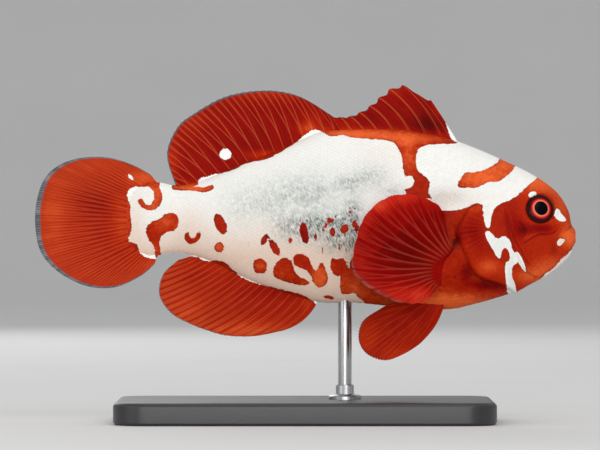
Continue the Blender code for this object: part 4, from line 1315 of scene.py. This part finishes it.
# (radius, height above the plinth) in mm of the collar at the post's foot
COLLAR = ((3.6, -0.4), (3.6, 0.7), (3.3, 1.0), (2.2, 1.1), (2.0, 1.4), (2.0, 3.0), (1.8, 3.3), (1.4, 3.3))


def turned(name, profile, x, finish, replaces=()):
    """A closed turned piece of steel: a profile of (radius, height) carried round an upright axis at x."""
    points = with_poles(turned_rings(profile, STEEL_SPOKES, x), (x, 0, profile[0][1]), (x, 0, profile[-1][1]))
    faces, maps = fanned(len(profile), STEEL_SPOKES)
    add_piece(name, points, faces, maps, finish, {}, replaces, sharp=40)


def plinth(finish):
    """The base: a rounded rectangle carried up through a small foot bevel, the side and a rounded top edge,
    then drawn in over the underside and the top in rings."""
    low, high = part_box("stand_base")
    half_x, half_y, height = (high.x - low.x) / 2, (high.y - low.y) / 2, high.z - low.z
    arc = np.linspace(0, math.pi / 2, CORNER_POINTS)
    turn = (np.arange(4)[:, None] * math.pi / 2 + arc).ravel()
    outward = np.stack([np.cos(turn), np.sin(turn)], -1)
    corners = np.repeat([(1, 1), (-1, 1), (-1, -1), (1, -1)], len(arc), axis=0)
    outline = corners * (half_x - PLINTH_CORNER, half_y - PLINTH_CORNER) + PLINTH_CORNER * outward
    curve = np.linspace(0, math.pi / 2, BEVEL_RINGS)
    inset = [PLINTH_FOOT, 0.0, *(PLINTH_BEVEL * (1 - np.cos(curve))), PLINTH_BEVEL + PLINTH_FOOT]
    rise = [0.0, PLINTH_FOOT, *(height - PLINTH_BEVEL + PLINTH_BEVEL * np.sin(curve)), height]
    side = np.stack([np.column_stack([outline - outward * i, 0 * turn + z]) for i, z in zip(inset, rise)])
    shares = np.array(FLAT_RINGS)[:, None, None] * (1, 1, 0)
    full = np.concatenate([side[:1] * shares[::-1], side, side[-1:] * shares + (0, 0, height)])
    points = with_poles(full, (0, 0, 0), (0, 0, height)) + ((low.x + high.x) / 2, 0, 0)
    faces, maps = fanned(len(full), len(turn))
    add_piece("stand_plinth", points, faces, maps, finish, {}, ("stand_base",), sharp=35)


def make_stand():
    """The plinth, the post up into the belly and the collar at the post's foot."""
    plinth(plinth_finish())
    steel = steel_finish()
    low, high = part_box("stand_rod")
    x, radius = (low.x + high.x) / 2, (high.x - low.x) / 2
    foot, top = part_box("stand_base")[1].z, high.z + POST_OVER
    side = ((radius, foot - POST_SUNK), (radius, (foot + high.z) / 2), (radius, top))
    turned("stand_post", (*side, (radius * 0.9, top + POST_BEVEL)), x, steel, ("stand_rod",))
    turned("stand_collar", np.array(COLLAR) * MM + (0, foot), x, steel)


# ---------------------------------------------------------------- the fish


def make_fish():
    """Skin, scales, cheek spines and eyes, then the fins of the midline and the paired ones."""
    bare, scaly, gloss = skin_finish("skin_bare", False), skin_finish("skin_scaled", True), eye_finish()
    web = fin_finish("fin_web", BODY_REDS, WEB_RAYS, 0.12, 0.60, WEB_EDGES)
    breast = fin_finish("breast_fin_web", BREAST_REDS, BREAST_RAYS, 0.70, 0.34, BREAST_EDGES)
    skin = Skin()
    make_skin(skin, bare)
    for word, side in SIDES:
        make_scales(f"scales_{word}", skin, side, scaly, on_trunk, *TRUNK_SCALES)
        make_scales(f"head_scales_{word}", skin, side, scaly, on_scaly_head, *HEAD_SCALES)
        cheek_spines(f"cheek_spines_{word}", side, bare)
    for word, side in SIDES:
        eye(f"eyeball_{word}", side, gloss, f"eye_{word}")

    spiny = ruled(SPINE_ROOTS, SPINE_TIPS, SPINE_BOWS)
    fin("dorsal_web", spiny, 10, web, "dorsal_fin_spiny", SPINY_WARMTH, thick=0.26, band=0.10, paleness=0.84,
        per_ray=30, ripple=0.12, notch=0.05, start=0.12, forked=0.0, gap=0.24)
    soft = ruled(SOFT_ROOT, SOFT_MARGIN, (0.3, 0.7, 0.5, 0.2))
    fin("dorsal_soft", soft, 18, web, "dorsal_fin_soft", SOFT_WARMTH, thick=0.17, band=0.32, paleness=0.55,
        ripple=0.35, notch=0.016, start=0.06, forks_to=0.62, delay=1.1, gap=0.05, band_swell=0.10)
    anal = ruled(ANAL_ROOT, ANAL_MARGIN, (-1.2, -0.6, -0.3))
    fin("anal_web", anal, 22, web, "anal_fin", ANAL_WARMTH, thick=0.15, band=0.16, paleness=0.34,
        ripple=0.3, start=0.06, forked=0.6, delay=1.2, gap=0.06, fade=(0.1, 0.1))
    fin("tail_web", ruled(TAIL_ROOT, TAIL_MARGIN), 24, web, "caudal_fin", TAIL_WARMTH, thick=0.13, band=0.42,
        paleness=0.34, per_ray=14, rows=76, ripple=0.35, start=0.10, delay=0.8, gap=0.10, fade=(0.1, 0.1),
        band_swell=0.75)
    for word, side in SIDES:
        fin(f"pectoral_{word}", pectoral_point(side), 17, breast, f"pectoral_fin_{word}", PECTORAL_WARMTH,
            thick=0.22, band=-0.8, paleness=0.62, rows=72, sheath=0.70, pleat=0.14, start=PECTORAL_LOBE,
            forked=0.8, delay=2.4, gap=0.20, fade=(1.0, 0.5), fade_from=0.30, band_swell=2.0,
            swell=(0.70, 0.17), plain=True)
        fin(f"pelvic_{word}", pelvic_point(side), 6, web, f"pelvic_fin_{word}", PELVIC_WARMTH,
            thick=0.2, band=0.06, paleness=0.16, per_ray=24, sheath=0.45, ripple=0.12, notch=0.02,
            fade=(0.5, 0.5), plain=True)


# ---------------------------------------------------------------- floor, light and camera

# In metres: the flat's radius, the rings inside it, the radius of the curve at its rim and the wall's height
FLOOR_FLAT, FLOOR_INNER, FLOOR_CURVE, FLOOR_WALL = 1.7, (0.4, 0.9), 0.6, 0.9
FLOOR_SPOKES, FLOOR_ARC = 72, 15
SKY, SKY_STRENGTH = (0.97, 0.98, 1.0, 1.0), 0.56
# Name, place, the point it is aimed at, diameter and watts of each round lamp
LAMPS = (
    ("key", (0.22, -0.60, 0.55), (0.0, 0.0, 0.045), 0.40, 0.95),
    ("low", (0.02, -0.75, 0.07), (0.0, 0.0, 0.04), 0.50, 2.75),
    ("fill", (-0.60, -0.50, 0.25), (0.0, 0.0, 0.04), 0.60, 0.8),
    ("rear", (-0.25, 0.80, 0.45), (0.0, 0.0, 0.05), 0.60, 1.5),
    ("top", (0.0, 0.05, 0.80), (0.0, 0.0, 0.05), 0.50, 0.6),
)
LENS, SENSOR = 300.0, 36.0
FISH_SHARE = 0.9  # of the view's width that the fish takes up
AIM_BACK = 50.9  # the view's middle, behind the snout


def make_floor():
    """A pale bowl all round: a flat floor that curves up into a low wall, one profile carried round Z."""
    arc = np.linspace(0, math.pi / 2, FLOOR_ARC + 1)
    radius = [*FLOOR_INNER, *(FLOOR_FLAT + FLOOR_CURVE * np.sin(arc)), FLOOR_FLAT + FLOOR_CURVE]
    height = [0.0, 0.0, *(FLOOR_CURVE - FLOOR_CURVE * np.cos(arc)), FLOOR_WALL]
    grid = turned_rings(np.stack([radius, height], 1), FLOOR_SPOKES)
    quads, _ = ring_faces(len(radius), FLOOR_SPOKES, U_SPAN, V_SPAN)
    j = np.arange(FLOOR_SPOKES)
    middle = np.stack([j, (j + 1) % FLOOR_SPOKES, np.full(FLOOR_SPOKES, quads.max() + 1)], 1)
    points = np.vstack([grid.reshape(-1, 3), (0.0, 0.0, 0.0)])
    floor = new_object("floor", points, [quads, middle], paper_finish())


def make_lights():
    """An even pale surround and round lamps turned towards the fish."""
    world = bpy.data.worlds.new("studio")
    world.use_nodes = True
    background = world.node_tree.nodes["Background"]
    background.inputs["Color"].default_value = SKY
    background.inputs["Strength"].default_value = SKY_STRENGTH
    bpy.context.scene.world = world
    for name, spot, aim, size, power in LAMPS:
        light = bpy.data.lights.new(name, "AREA")
        light.shape, light.size, light.energy = "DISK", size, power
        lamp = bpy.data.objects.new(name, light)
        lamp.location = spot
        x, y, z = np.subtract(aim, spot)
        pitch, yaw = math.acos(-z / math.hypot(x, y, z)), math.atan2(y, x)
        lamp.rotation_euler = (pitch, 0, yaw - math.pi / 2)
        bpy.context.scene.collection.objects.link(lamp)


def make_camera():
    """A long lens square to the right flank, level with the body's axis."""
    camera = bpy.data.cameras.new("camera")
    camera.sensor_width, camera.lens = SENSOR, LENS
    camera.clip_start, camera.clip_end = 0.01, 20.0
    viewer = bpy.data.objects.new("camera", camera)
    distance = 100 * UNIT / FISH_SHARE * LENS / SENSOR
    viewer.location = (SNOUT - AIM_BACK * UNIT, -distance, AXIS)
    viewer.rotation_euler = (math.pi / 2, 0, 0)
    bpy.context.scene.collection.objects.link(viewer)
    bpy.context.scene.camera = viewer
    bpy.context.scene.view_settings.view_transform = "Standard"


make_fish()
make_stand()
make_floor()
make_lights()
make_camera()
